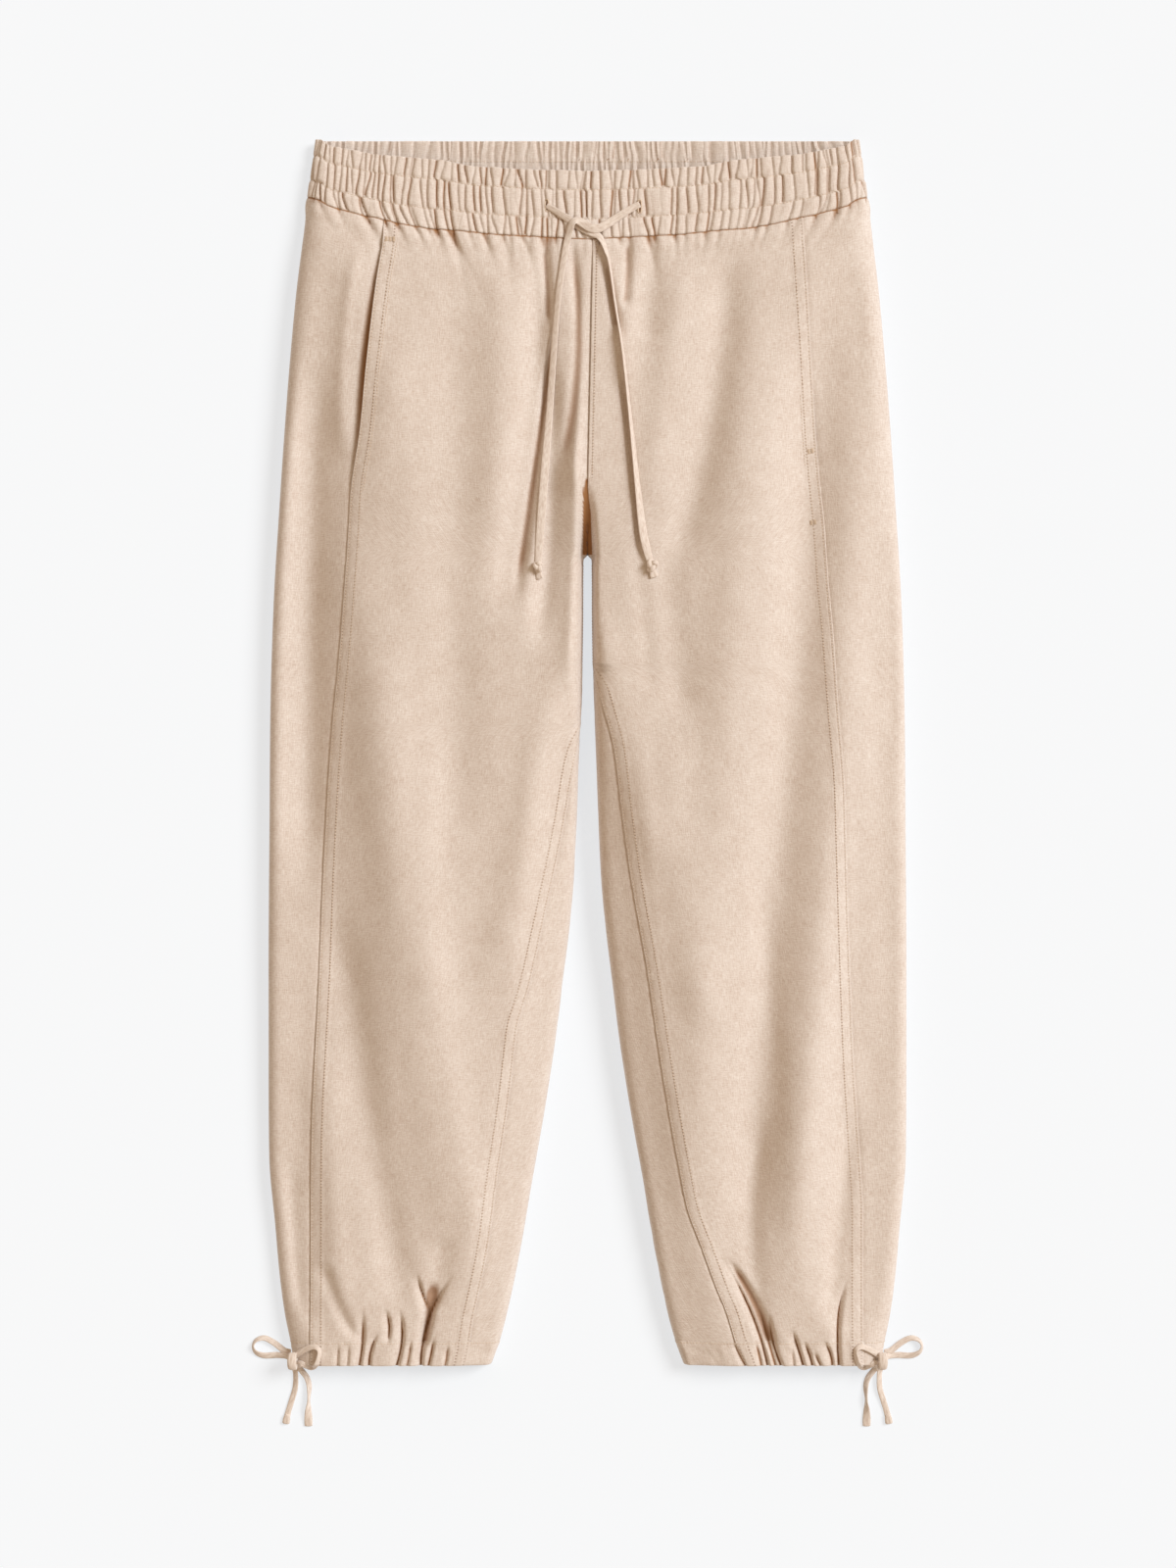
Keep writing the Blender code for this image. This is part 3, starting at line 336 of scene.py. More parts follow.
# Gathers in the backs: distance from the centre line, depth, half width, run
# up the leg
HEM_GATHERS = {
    RIGHT: [
        (218, 3, 3.6, 34), (205, 3.6, 3.8, 46), (191, 4.2, 3.8, 56), (177, 3.6, 3.8, 40),
        (160, 4.2, 4.2, 60), (146, 4, 4, 42), (130, 3.5, 4, 36), (113, 3, 4, 30),
    ],
    LEFT: [
        (219, 3, 3.6, 36), (203, 4.2, 3.8, 48), (189, 3.6, 3.8, 42), (172, 4.2, 4.2, 60),
        (158, 3.8, 4, 46), (143, 4, 4, 52), (126, 3, 4, 32), (112, 3, 4, 30),
    ],
}

# Narrow, deep folds of the front, with shade painted brown at the bottom: beside
# the waist cord's ends, under the waist, and where the creases of the hems meet.
DEEP_SHADED_FOLDS = {
    RIGHT: [
        (372, 25.5, 240, 43, 118, 61, 3, 4.8, -5),
        (440, 16.5, 335, 7.4, 222, 25, 3.4, 7, -4.6),
        (429, 37.5, 400, 34.5, 352, 32, 3, 4, -4.2),
        (-440, 129, -469, 132.2, -502, 137.5, 5.6, 2.6, -5.6),
        (-400, 118, -430, 123, -470, 128, 12, 8, -2.6),
    ],
    LEFT: [
        (330, 26, 250, 35.5, 150, 45.5, 2.6, 3.4, -3.4),
        (414, 14, 388, 18.6, 345, 26, 2.6, 3.8, -4.2),
        (430, 32.6, 405, 33.4, 366, 31, 2.8, 4, -4.2),
        (-421, 116, -462, 140, -502, 154.5, 3, 6.6, -5.4),
    ],
}

# Smaller folds of the front: puckers under the waist, the strip beside the
# pocket, and the long creases that run up from the hem.
SOFT_FOLDS = {
    RIGHT: [
        (-424, 220, -456, 211, -494, 190, 7.5, 5.5, -3),
        (427, 42, 285, 45, 103, 74, 9, 15, -7.4), (391, 1, 284, 4, 204, 12, 10, 12, 5.2),
        (-331, 248, -390, 246, -476, 240, 8, 7, -2.3),
        (-239, 60, -330, 72, -439, 92, 10, 10, -1.6),
        (341, 31, 229, 30, 80, 42, 8, 10, -6.6), (272, 7, 160, 9, 41, 15, 8, 10, 5.2),
        (-200, 140, -319, 119, -440, 100, 12, 12, -1.2),
        (432, 189, 384, 198, 241, 203, 6, 7, 2.8),
        (430, 203, 383, 209, 250, 216, 5, 5, 0.5),
    ],
    LEFT: [
        (400, 31, 350, 32, 300, 32, 8, 8, 2.1), (425, 54, 390, 51, 335, 50, 9, 10, -2.6),
        (170, 256, 80, 259, 0, 260, 8, 8, -2.3),
        (-291, 223, -389, 210, -487, 204, 9, 9, -3.8),
        (-301, 149, -411, 137, -486, 151, 8, 9, -2.3),
        (-60, 132, -189, 151, -331, 158, 9, 9, -1.2),
        (201, 33, 120, 46, 41, 50, 8, 8, -1.8),
    ],
}

# All the folds that lift or sink the front.
TOP_FOLDS = {n: FRONT_FOLDS[n] + SOFT_FOLDS[n] + DEEP_SHADED_FOLDS[n] for n in (RIGHT, LEFT)}

# Crumples: how wide, how long and how high.
CRUMPLES = ((60, 110, 0.55), (22, 34, 0.28), (8, 11, 0.11))

# y, share of the waist seam's rise that is left in a row of the panels
WAIST_SHARES = [(427.2, 1), (405, 0.86), (374, 0.6), (340, 0.3), (300, 0)]

# Edge of the left front, which laps over the right front.
# y, distance to the wearer's left of the centre line
CENTRE_SEAM = [(433, 4.6), (350, 3), (226, 0.4), (164.8, 0.2)]

# Slit between the legs' puffs above the crotch.
# y, width on the wearer's right of the centre line, width on the left
GROIN_SLIT = [
    (230, 0, 0), (225, 2.6, 0.1), (219, 3.9, 0.4), (208, 4.1, 1.6), (198, 4.1, 3),
    (184, 4.1, 3.4), (174, 4.2, 3.8), (164.8, 4.3, 4.1), (161.4, 4.1, 4), (153.3, 3.6, 3.6),
]

# Buttonholes for the waist cord: x, y, how tall
BUTTONHOLES = [(-34, 455.9, 9), (43.5, 454.7, 10.5)]

# Columns of points near a panel's edges: how far each is from the edge.
FRONT_MARKS = (0.0, 0.8, 1.6, 2.6, 4.0, 6.0, 8.4, 10.5)
BACK_MARKS = (0.0, 2.0, 4.0, 4.9, 5.8, 7.0, 9.0, 12.0)

# Waist cord: x, y, least height over what is under it, twist, width.
# The left strand ends as the right tail and the other way about.
STRANDS = {
    LEFT: [
        (43.2, 456.4, -0.3, 8, 5.4), (33.2, 451, 0.2, 12, 6.2), (20.9, 442.6, 0.3, 10, 6.8),
        (10.2, 436.2, 1.6, 4, 7.4), (2.9, 436, 2.2, 0, 7.6), (-3.4, 439.6, 2.2, -6, 7.4),
        (-8.6, 442.4, 2.4, -20, 7), (-12.4, 440.6, 2.4, -35, 6.8),
        (-14.6, 434.2, 1.2, -24, 6.2), (-17.8, 420.8, 0.2, -10, 5.8),
        (-22.2, 394, 0, -14, 5.4), (-25, 371, 0, -20, 5.4), (-28.2, 330, 0, -16, 5.6),
        (-31.4, 284, 0, -6, 6), (-35.2, 236, 0, 4, 7), (-38.6, 192, 0, 2, 7.2),
        (-40.4, 166, 0, 0, 6.6), (-40.9, 152, 0.8, 0, 5),
    ],
    RIGHT: [
        (-33.8, 455.6, -0.3, -6, 5), (-24.2, 449.4, 0.2, -14, 5.8),
        (-14.4, 442.8, 0.1, -10, 6.2), (-6.2, 437.2, 0, 0, 6.4), (2.4, 432.6, 0, 8, 6.4),
        (8.8, 429.6, 0.4, 20, 6.2), (12.2, 424.8, 0.4, 40, 6.2),
        (15.4, 416.4, 0.1, 60, 6.2), (18.6, 404.6, 0, 72, 6.2), (23.4, 370.6, 0, 76, 6.2),
        (29.1, 333.7, 0, 74, 6.2), (35.2, 280, 0, 66, 6.4), (40.8, 226, 0, 48, 6.6),
        (45.6, 184, 0, 24, 7.2), (49.4, 166, 0, 12, 6.8), (52.2, 156, 0.8, 6, 5.2),
    ],
}
# Thickness of the tape, its width when flat, thickness of its knots
TAPE_THICK, WAIST_CORD, KNOT_THICK = 1.3, 6.6, 3.4

# Overhand knots at the cord's ends: x, y, reach across, along and up, turn
END_KNOTS = {LEFT: (-41, 153.2, 4, 5.2, 2.2, 8), RIGHT: (53.4, 154.2, 4.8, 6, 2.2, -24)}
# Flared ends past the knots: x, y, height, twist, width
END_FLARES = {
    LEFT: [
        (-41, 149.8, 0.6, 0, 4.2), (-40.4, 146.4, 0, -6, 5.6), (-39.8, 143.6, 0, -10, 6.6),
    ],
    RIGHT: [(53.6, 151, 0.6, 8, 5), (54.6, 147.4, 0, 10, 6.6), (55.4, 144.8, 0, 8, 7.4)],
}

# Hem cords: distance from the centre line, y, height over what is under
# them, twist, width.  Each leaves the knot, loops back through and ends free.
HEM_CORDS = {
    "outer": [
        (249.4, -503.4, 1.8, 0, 5), (254.6, -502, 1, 10, 5.3),
        (262.7, -495.8, 0.2, 20, 5.3), (271, -491.7, 0, 30, 5), (277.8, -493.4, 0, 55, 4.8),
        (280.6, -498.4, 0, 70, 4.8), (278.2, -503.6, 0, 40, 5), (271.2, -506.4, 0, 15, 5.3),
        (259.7, -506, 0.6, 0, 5.3), (250.6, -507.2, 2, 0, 5), (247, -511.6, 2.4, 0, 5),
        (245.6, -517.4, 1.2, 20, 5), (244.8, -523, 0, 30, 5), (245.2, -533.6, 0, 20, 5),
        (248.2, -544.2, 0, 5, 5), (250.6, -552, 0, 0, 5), (252.2, -558, 0, 0, 5.5),
    ],
    "inner": [
        (243.6, -504.6, 1.6, 0, 4.8), (240.6, -502, 1, -10, 5),
        (233.2, -497.6, 0.2, -18, 5), (227.4, -496, 0, -25, 5),
        (223.4, -499.2, 0, -50, 4.8), (224.4, -506.6, 0, -40, 4.8),
        (227.8, -513.4, 0, -30, 4.8), (231.8, -515.4, 0.4, -20, 4.8),
        (236.8, -512.2, 0.8, -10, 4.8), (241, -510.6, 2, 0, 4.8), (242, -515.4, 2, 0, 4.8),
        (239.2, -519.8, 0.6, -15, 5), (235.4, -525, 0, -20, 5), (233.4, -532.4, 0, -35, 5),
        (233.8, -543.6, 0, -70, 4.8), (234.2, -552, 0, -30, 5.8), (234.2, -560, 0, -6, 7),
        (234.2, -565.4, 0, 0, 6.7),
    ],
}
# The same for the hems' tape, with the wrap's and the pad's thickness
HEM_TAPE_THICK, HEM_CORD, WRAP_THICK, PAD_THICK = 1.5, 4.2, 2.2, 2.4
# Wrap round the middle of the bow: distance from the centre line, y, radii
# along y and z, width of the band
BOW_WRAP = (245.8, -508.8, 6.4, 3.6, 8.0)
# Folded pad on the outer tail: its route as above
BOW_PAD = [
    (251.8, -556.6, 0.3, 0, 4.8), (252.4, -559.4, 0.3, 0, 6.2), (252.9, -563, 0.2, 0, 6.4),
]

# Level of the stitches at the top of a hem
HEM_ROW = CASING_TOP - 1.2
# Rows of stitches beside the pockets: upper y, lower y, distance from the edge
POCKET_ROWS = {RIGHT: (425, 214, 11.5), LEFT: (300, 236, 11.5)}
# Bartacks: x, y, turn in degrees, width
BARTACKS = [(-165, 427, 0, 8), (186.5, 250.5, 10, 7), (188, 191, 10, 6)]

# Stage: floor, key and fill light, and what the camera takes in.
FLOOR_REACH = 40000.0
FLOOR_GLOW = (0.603, 0.637, 0.6725)
FLOOR_LEVEL = -0.3
KEY_FROM = (0.68, 0.36, 0.64)
KEY_SOFTNESS = 26.0
KEY_COLOUR = (0.92, 0.963, 1.0)
FILL_COLOUR = (1.0, 0.75, 0.51)
VIEW_CENTRE = (0.0004, -0.027)
VIEW_TALL = 1.312
VIEW_LEVEL = 0.010
SENSOR = 36.0


# -------------------------------------------------------------------- curves
def straight(table, at, column=1):
    """Straight lines through one column of a table, by its first column."""
    rows = np.array(sorted(table), dtype=float)
    return np.interp(at, rows[:, 0], rows[:, column])


def smooth(table, at, column=1):
    """Cubic through one column of a table, by its first column.

    The slope at a row is the mean of its neighbours', and no more than three
    times the flatter one, so the curve never swings past a row.
    """
    rows = np.array(sorted(table), dtype=float)
    x, v = rows[:, 0], rows[:, column]
    slope = np.diff(v) / np.diff(x)
    low, high = np.append(slope[:1], slope), np.append(slope, slope[-1:])
    most = 3 * np.minimum(np.abs(low), np.abs(high)) * (low * high > 0)
    m = np.clip((low + high) / 2, -most, most)
    at = np.clip(np.asarray(at, dtype=float), x[0], x[-1])
    i = np.clip(np.searchsorted(x, at) - 1, 0, len(x) - 2)
    w = x[i + 1] - x[i]
    t = (at - x[i]) / w
    a = 2 * t**3 - 3 * t**2 + 1
    b = t**3 - 2 * t**2 + t
    return a * v[i] + b * w * m[i] + (1 - a) * v[i + 1] + (t**3 - t**2) * w * m[i + 1]


def step(a, b, t):
    """0 at a, 1 at b, smooth between them."""
    t = np.clip((t - a) / (b - a), 0.0, 1.0)
    return t * t * (3.0 - 2.0 * t)


def bell(away, wide):
    """1 in the middle and exp(-(away / wide)^2) beside it."""
    return np.exp(-((away / wide) ** 2))


def between(keys, values, at):
    """Straight-line look-up along many rows at once.

    Row n's keys are moved n * ROW_STEP away, so one long look-up serves all.
    """
    shift = ROW_STEP * np.arange(len(keys))[:, None]
    flat = np.interp((at + shift).ravel(), (keys + shift).ravel(), values.ravel())
    return flat.reshape(at.shape)


def lattice(u, v, du, dv, seed):
    """Uneven relief from -1 to 1.

    Random numbers sit at the corners of du by dv boxes, and between them
    t * t * (3 - 2 * t) blends each way.
    """
    numbers = np.random.default_rng(seed).uniform(-1, 1, (LATTICE, LATTICE))
    i, j = np.floor(u / du), np.floor(v / dv)
    s, t = step(0.0, 1.0, u / du - i), step(0.0, 1.0, v / dv - j)
    i, j = i.astype(int) % LATTICE, j.astype(int) % LATTICE
    k, m = (i + 1) % LATTICE, (j + 1) % LATTICE
    upper = numbers[i, j] * (1 - s) + numbers[k, j] * s
    lower = numbers[i, m] * (1 - s) + numbers[k, m] * s
    return upper * (1 - t) + lower * t


def run_of(points):
    """Length along a line of points, at each of them."""
    moves = np.linalg.norm(np.diff(points, axis=0), axis=1)
    return np.concatenate([[0.0], np.cumsum(moves)])


def placed(at, along, points):
    """Points at lengths along a line of points."""
    return np.stack([np.interp(at, along, column) for column in points.T], axis=1)


def unit(v):
    """Vectors of length 1."""
    return v / np.linalg.norm(v, axis=-1, keepdims=True)


def square_to(way, v):
    """Unit vectors v, turned square to unit vectors way."""
    return unit(v - way * (v * way).sum(1, keepdims=True))


# --------------------------------------------------------------- leg section
def puff_rise(inwards, wide, rim, share, ledge):
    """Share of the puff's height at a distance inwards from its edge.

    A quarter ellipse over the rim takes one share, and a smooth slope from
    the ledge to the top takes the rest.
    """
    near = np.sqrt(1.0 - (1.0 - np.clip(inwards / rim, 0.0, 1.0)) ** 2)
    return share * near + (1.0 - share) * step(ledge * wide, wide, inwards)


def groin_height(inwards, y):
    """Height of the front at a distance in from the leg's inner edge."""
    top = smooth(BODY, y, 2)
    share, low, over, rim_share = (smooth(GROIN, y, n) for n in range(1, 5))
    end = low + over
    end = end + share * (top - end)
    return end + (top - end) * puff_rise(inwards, GROIN_WIDTH, GROIN_RIM, rim_share, 0.0)


def leg_section(p, y):
    """Distance from the centre line and height of the leg's outline.

    p runs from 3 at the inner end of the front, over the top to 0 at the
    outer edge, and to -3 at the inner end of the underside.
    """
    outer, top, edge, wide, rim, rim_share = (smooth(BODY, y, n) for n in range(1, 7))
    inner = smooth(INNER, y)
    low = smooth(GROIN, y, 2)
    groin = UNDER_GROIN * np.clip(low / 12.0, 0.5, 1.0)
    quarter = math.pi / 2
    inwards = wide * (1 - np.cos(np.clip(p, 0, 1) * quarter))
    h = outer - inwards
    z = edge + (top - edge) * puff_rise(inwards, wide, rim, rim_share, LEDGE)
    level = outer - wide + (p - 1) * (inner + GROIN_WIDTH - outer + wide)
    h, z = np.where(p > 1, level, h), np.where(p > 1, top, z)
    inwards = GROIN_WIDTH * (1 - np.sin((np.clip(p, 2, 3) - 2) * quarter))
    h, z = np.where(p > 2, inner + inwards, h), np.where(p > 2, groin_height(inwards, y), z)
    turn = np.clip(-p, 0, 1) * quarter
    h = np.where(p < 0, outer - UNDER_EDGE * (1 - np.cos(turn)), h)
    z = np.where(p < 0, edge * (1 - np.sin(turn)), z)
    flat = inner + groin - outer + UNDER_EDGE
    h = np.where(p < -1, outer - UNDER_EDGE + (-p - 1) * flat, h)
    z = np.where(p < -1, 0.0, z)
    turn = (np.clip(-p, 2, 3) - 2) * quarter
    h = np.where(p < -2, inner + groin * (1 - np.sin(turn)), h)
    return h, np.where(p < -2, low * (1 - np.cos(turn)), z)


def waist_rise(p, h):
    """How far the waist seam stands above its level at a point."""
    front, back = straight(FRONT_WAIST_SEAM, h), straight(BACK_WAIST_SEAM, h)
    return np.where(p >= 0, front, back) - WAIST_SEAM_LEVEL


class Sections:
    """One leg's sections at many levels, with lengths along each.

    A section runs from the centre front over the top to the centre back, and
    below the crotch goes on over the inner edge on to the front again.
    """

    def __init__(self, side, levels, height=None):
        level = np.asarray(levels, dtype=float)[:, None]
        p = np.repeat(PLACES[None, :], len(level), axis=0)
        flat = np.broadcast_to(level, p.shape)
        self.side = side
        self.y = flat if height is None else height(p, leg_section(p, flat)[0])
        self.h, self.z = leg_section(p, self.y)
        moves = np.hypot(np.diff(self.h, axis=1), np.diff(self.z, axis=1))
        self.a = np.pad(np.cumsum(moves, axis=1), ((0, 0), (1, 0)))
        dh, dz = np.gradient(self.h, axis=1), np.gradient(self.z, axis=1)
        size = np.maximum(np.hypot(dh, dz), 1e-9)
        self.nh, self.nz = -dz / size, dh / size
        self.loop = self.a[:, LOOP_END : LOOP_END + 1]

    def crossing(self, off):
        """Length at which off, how far the section is past a seam, is 0."""
        return between(off, self.a[:, : off.shape[1]], np.zeros((len(off), 1)))

    def side_seam(self):
        """Length at which the side seam lies, for each level."""
        h, y = self.h[:, : OUTER + 1], self.y[:, : OUTER + 1]
        return self.crossing(h - smooth(SIDE_SEAM[self.side], y))

    def inner_seam(self):
        """Length at which the inner-leg seam lies, 0 at the inner edge."""
        table = INNER_SEAM[self.side]
        h, y = self.h[:, : SLOPE + 1], self.y[:, : SLOPE + 1]
        found = self.crossing(h - smooth(INNER, y) - smooth(table, y))
        return np.where(self.y[:, :1] > table[0][0], 0.0, found)

    def look(self, at):
        """Place p, half distance, y, height and outward way at lengths."""
        rest = PLACES[LOOP_END:].copy()
        rest[0] = 3.0
        p, again = (
            between(lengths, np.repeat(places[None], len(at), 0), at)
            for lengths, places in (
                (self.a[:, : LOOP_END + 1], PLACES[: LOOP_END + 1]),
                (self.a[:, LOOP_END:], rest),
            )
        )
        p = np.where(at > self.loop, again, p)
        rows = (self.h, self.y, self.z, self.nh, self.nz)
        h, y, z, nh, nz = (between(self.a, v, at) for v in rows)
        short = np.minimum(at, 0.0)
        return p, h + short * nz, y, z - short * nh, nh, nz


def waist_place(side):
    """Length round the waist seam's half ring at each place p."""
    ring = Sections(
        side, [WAIST_SEAM_LEVEL], lambda p, h: WAIST_SEAM_LEVEL + waist_rise(p, h)
    )
    lengths, places = ring.a[0, : LOOP_END + 1], -PLACES[: LOOP_END + 1]
    return lambda p: np.interp(-p, places, lengths)


# -------------------------------------------------------------------- relief
def one_sided(away):
    """A crease's distances, drawn in on its +X side, where its wall is steep."""
    return np.where(away > 0, away / STEEP, away / GENTLE)


def fold_line(ya, xa, ym, xm, yb, xb, y):
    """How far down a fold a level is, 0 to 1, and where the fold runs there.

    The line is a parabola through the fold's three points.
    """
    t = np.clip((ya - y) / (ya - yb), 0.0, 1.0)
    middle = (ya - ym) / (ya - yb)
    bend = (xm - xa - middle * (xb - xa)) / (middle * (1 - middle))
    return t, xa + t * (xb - xa) + bend * t * (1 - t)


def fold_height(table, side, h, y):
    """Sum of the long folds of a table at a point of one leg."""
    total = np.zeros_like(h)
    for *line, wide_a, wide_b, height in table[side]:
        t, at = fold_line(*line, y)
        fade = step(0.0, FOLD_FULL[0], t) * step(1.0, FOLD_FULL[1], t)
        total = total + height * fade * bell(h - at, wide_a + (wide_b - wide_a) * t)
    return total


def cloth_lift(side, p, h, y):
    """Long folds and crumples: up from the surface, all inside the outline.

    They fade out at the front's two edges, and at those of the underside.
    """
    outwards, inwards = smooth(BODY, y) - h, h - smooth(INNER, y)
    over = step(1.0, 16.0, outwards) * step(1.0, 11.0, inwards)
    over = np.where(p >= 0, over, 0.0)
    under = np.where(p < -1, 1.0, 0.0) * step(-2.6, -2.0, p) * step(-1.0, -1.15, p)
    lift = over * fold_height(TOP_FOLDS, side, h, y)
    lift = lift + under * fold_height(BACK_FOLDS, side, h, y)
    around = np.where(p >= 0, h, 1000.0 - h)
    crumple = np.zeros_like(h)
    for n, (du, dv, height) in enumerate(CRUMPLES):
        spot = (around + RELIEF_SHIFT, y + RELIEF_SHIFT)
        crumple = crumple + height * lattice(*spot, du, dv, CRUMPLE_SEED + 7 * side + n)
    # Near the waist seam and the hem there are none.
    calm = step(427.0, 400.0, y) * step(CASING_TOP, CASING_TOP + 25.0, y)
    return lift + crumple * np.where(p >= 0, over, under) * calm


class Gathers:
    """Where the waist's gathers dip, round one half, and how far they run."""

    def __init__(self, side):
        rng = np.random.default_rng(GATHER_SEED + side)
        half = float(waist_place(side)(-3.0))
        gaps = 3.0 + rng.gamma(1.7, 2.0, GATHERS)
        spots = np.cumsum(gaps) - gaps[0] / 2
        self.side = side
        self.spots = spots * half / (spots[-1] + gaps[0] / 2)
        # In each third of the band a pleat has its own place and slant.
        tier, tilt = (rng.normal(0.0, size, (GATHERS, 3)) for size in (1.0, 0.85))
        lines = np.stack([tier + tilt, tier - tilt], axis=2)
        lines = self.spots[:, None] + lines.reshape(GATHERS, -1)
        room = LEAST_GATHER * np.arange(GATHERS)[:, None]
        lines = np.maximum.accumulate(np.sort(lines, axis=0) - room, axis=0) + room
        self.sway = lines - self.spots[:, None]
        strength = rng.uniform(0.55, 1.0, (GATHERS, 3))
        missing = rng.uniform(0, 1, (GATHERS, 3)) < GATHERS_MISSING
        self.strength = np.where(missing, 0.15 * strength, strength)
        # Under the seam: how far down it runs, how it leans, how deep it is.
        self.run = 6.5 + rng.gamma(1.4, 4.5, GATHERS)
        self.lean = rng.normal(0.0, 0.14, GATHERS)
        faint = rng.uniform(0, 1, GATHERS) < PUCKERS_FAINT
        self.tuck = rng.uniform(0.65, 1.0, GATHERS) * np.where(faint, 0.3, 1.0)

    @staticmethod
    def form(away, core, spread, grown=1.0):
        """A narrow exp(-away / spread), rounded at its bottom, in a wider bell."""
        away = one_sided(away)
        near = np.sqrt(away**2 + GATHER_SHARP**2) - GATHER_SHARP
        narrow = core * np.exp(-near / spread / grown)
        return narrow + (1.0 - core) * bell(away / PUFF_SPREAD, grown)

    def band(self, x, share, p):
        """Share of the full dip at places x and a share of the way down.

        All gathers are joined as 1 - product(1 - gather).
        """
        zone = np.interp(share, GATHER_LEVELS, np.arange(len(GATHER_LEVELS)))
        above = np.minimum(zone.astype(int), len(GATHER_LEVELS) - 2)
        eased = step(0.0, 1.0, zone - above)[:, None]
        upper, lower = self.sway.T[above], self.sway.T[above + 1]
        sway = upper + eased * (lower - upper)
        dips = np.ones_like(x)
        way = self.side * np.sign(p)
        for spot, moved, thirds in zip(self.spots, sway.T, self.strength):
            deep = np.interp(share, STRENGTH_LEVELS, np.repeat(thirds, 2))
            form = self.form(way * (x - spot - moved[:, None]), 0.55, GATHER_SPREAD)
            dips = dips * (1.0 - deep[:, None] * form)
        return 1.0 - dips

    def panel(self, x, below):
        """The same gathers in a panel, fading and widening below the seam."""
        down = np.maximum(below, 0.0)
        dips = np.ones_like(x)
        for n, spot in enumerate(self.spots):
            away = self.side * (x - spot - self.sway[n, -1] - self.lean[n] * below)
            form = self.form(away, 0.6, PUCKER_SPREAD, 1.0 + 0.07 * down)
            deep = self.strength[n, 2] * self.tuck[n] * np.exp(-down / self.run[n])
            dips = dips * (1.0 - deep * form)
        return 1.0 - dips


def hem_dips(side, p, h, y):
    """Depth of the hem's gathers at a point of one leg, and their painted shade.

    Each is a soft dip with a narrow core.  Those of the back lean inwards as
    they rise.
    """
    total, crease_shade = np.zeros_like(h), np.zeros_like(h)
    for *line, wide, depth, dies in HEM_CREASES[side]:
        t, at = fold_line(*line, y)
        fade = step(0.0, 0.45, t) * (step(1.0, 0.7, t) if dies else 1.0)
        fade = np.where(p >= 0, fade, 0.0)
        away = one_sided(side * (h - at))
        core = np.exp(-np.abs(away) / HEM_CORE)
        soft, narrow = CREASE_SHARES
        total = total + depth * fade * (soft * bell(away, wide) + narrow * core)
        # Painted shade: a brown line along each crease's core.
        brown = bell(away, HEM_SHADE_LINE) * min(depth / CREASE_SHADE_DEPTH, 1.0)
        crease_shade = np.maximum(crease_shade, fade * brown)
    lean = HEM_LEAN * np.clip(y - HEM, 0.0, 90.0)
    for centre, depth, wide, run in HEM_GATHERS[side]:
        fade = step(CASING_TOP + run, CASING_TOP - 2.0, y)
        fade = np.where(p >= 0, 0.0, fade)
        away = h - centre + lean
        core = np.exp(-np.abs(away) / HEM_CORE)
        wide = wide * (1.5 - 0.5 * fade)
        soft, narrow = GATHER_SHARES
        total = total + depth * fade * (soft * bell(away, wide) + narrow * core)
        # Painted shade along each gather of the back.
        crease_shade = np.maximum(crease_shade, 0.8 * fade * bell(away, HEM_SHADE_LINE))
    return total, crease_shade


def joined(side, h, y, z, nh, nz, out, lift):
    """Points of the cloth, moved out along the section's own way and lifted."""
    h = h + nh * out
    z = np.maximum(z + nz * out + lift, FLOOR_CLEAR)
    points = np.stack([side * h, np.broadcast_to(y, h.shape), z], axis=-1)
    return points, np.stack([side * nh, np.zeros_like(h), nz], axis=-1)


# -------------------------------------------------------------- mesh building
def new_piece(name, mesh, material, slot, *nodes):
    """An object that rides on the one body and stands for CAD nodes."""
    mesh.materials.append(material)
    piece = bpy.data.objects.new(name, mesh)
    bpy.context.scene.collection.objects.link(piece)
    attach(piece, "root")
    if nodes:
        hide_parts(*nodes)
    return piece


def mesh_of(name, points, faces, smooth_faces=True):
    """A mesh from an array of points in millimetres and one of corners."""
    mesh = bpy.data.meshes.new(name)
    mesh.vertices.add(len(points))
    mesh.vertices.foreach_set("co", (points * MM).astype(np.float32).ravel())
    mesh.loops.add(faces.size)
    mesh.loops.foreach_set("vertex_index", faces.astype(np.int32).ravel())
    mesh.polygons.add(len(faces))
    starts = np.arange(len(faces), dtype=np.int32) * faces.shape[1]
    mesh.polygons.foreach_set("loop_start", starts)
    mesh.polygons.foreach_set("use_smooth", np.full(len(faces), smooth_faces))
    mesh.update(calc_edges=True)
    return mesh


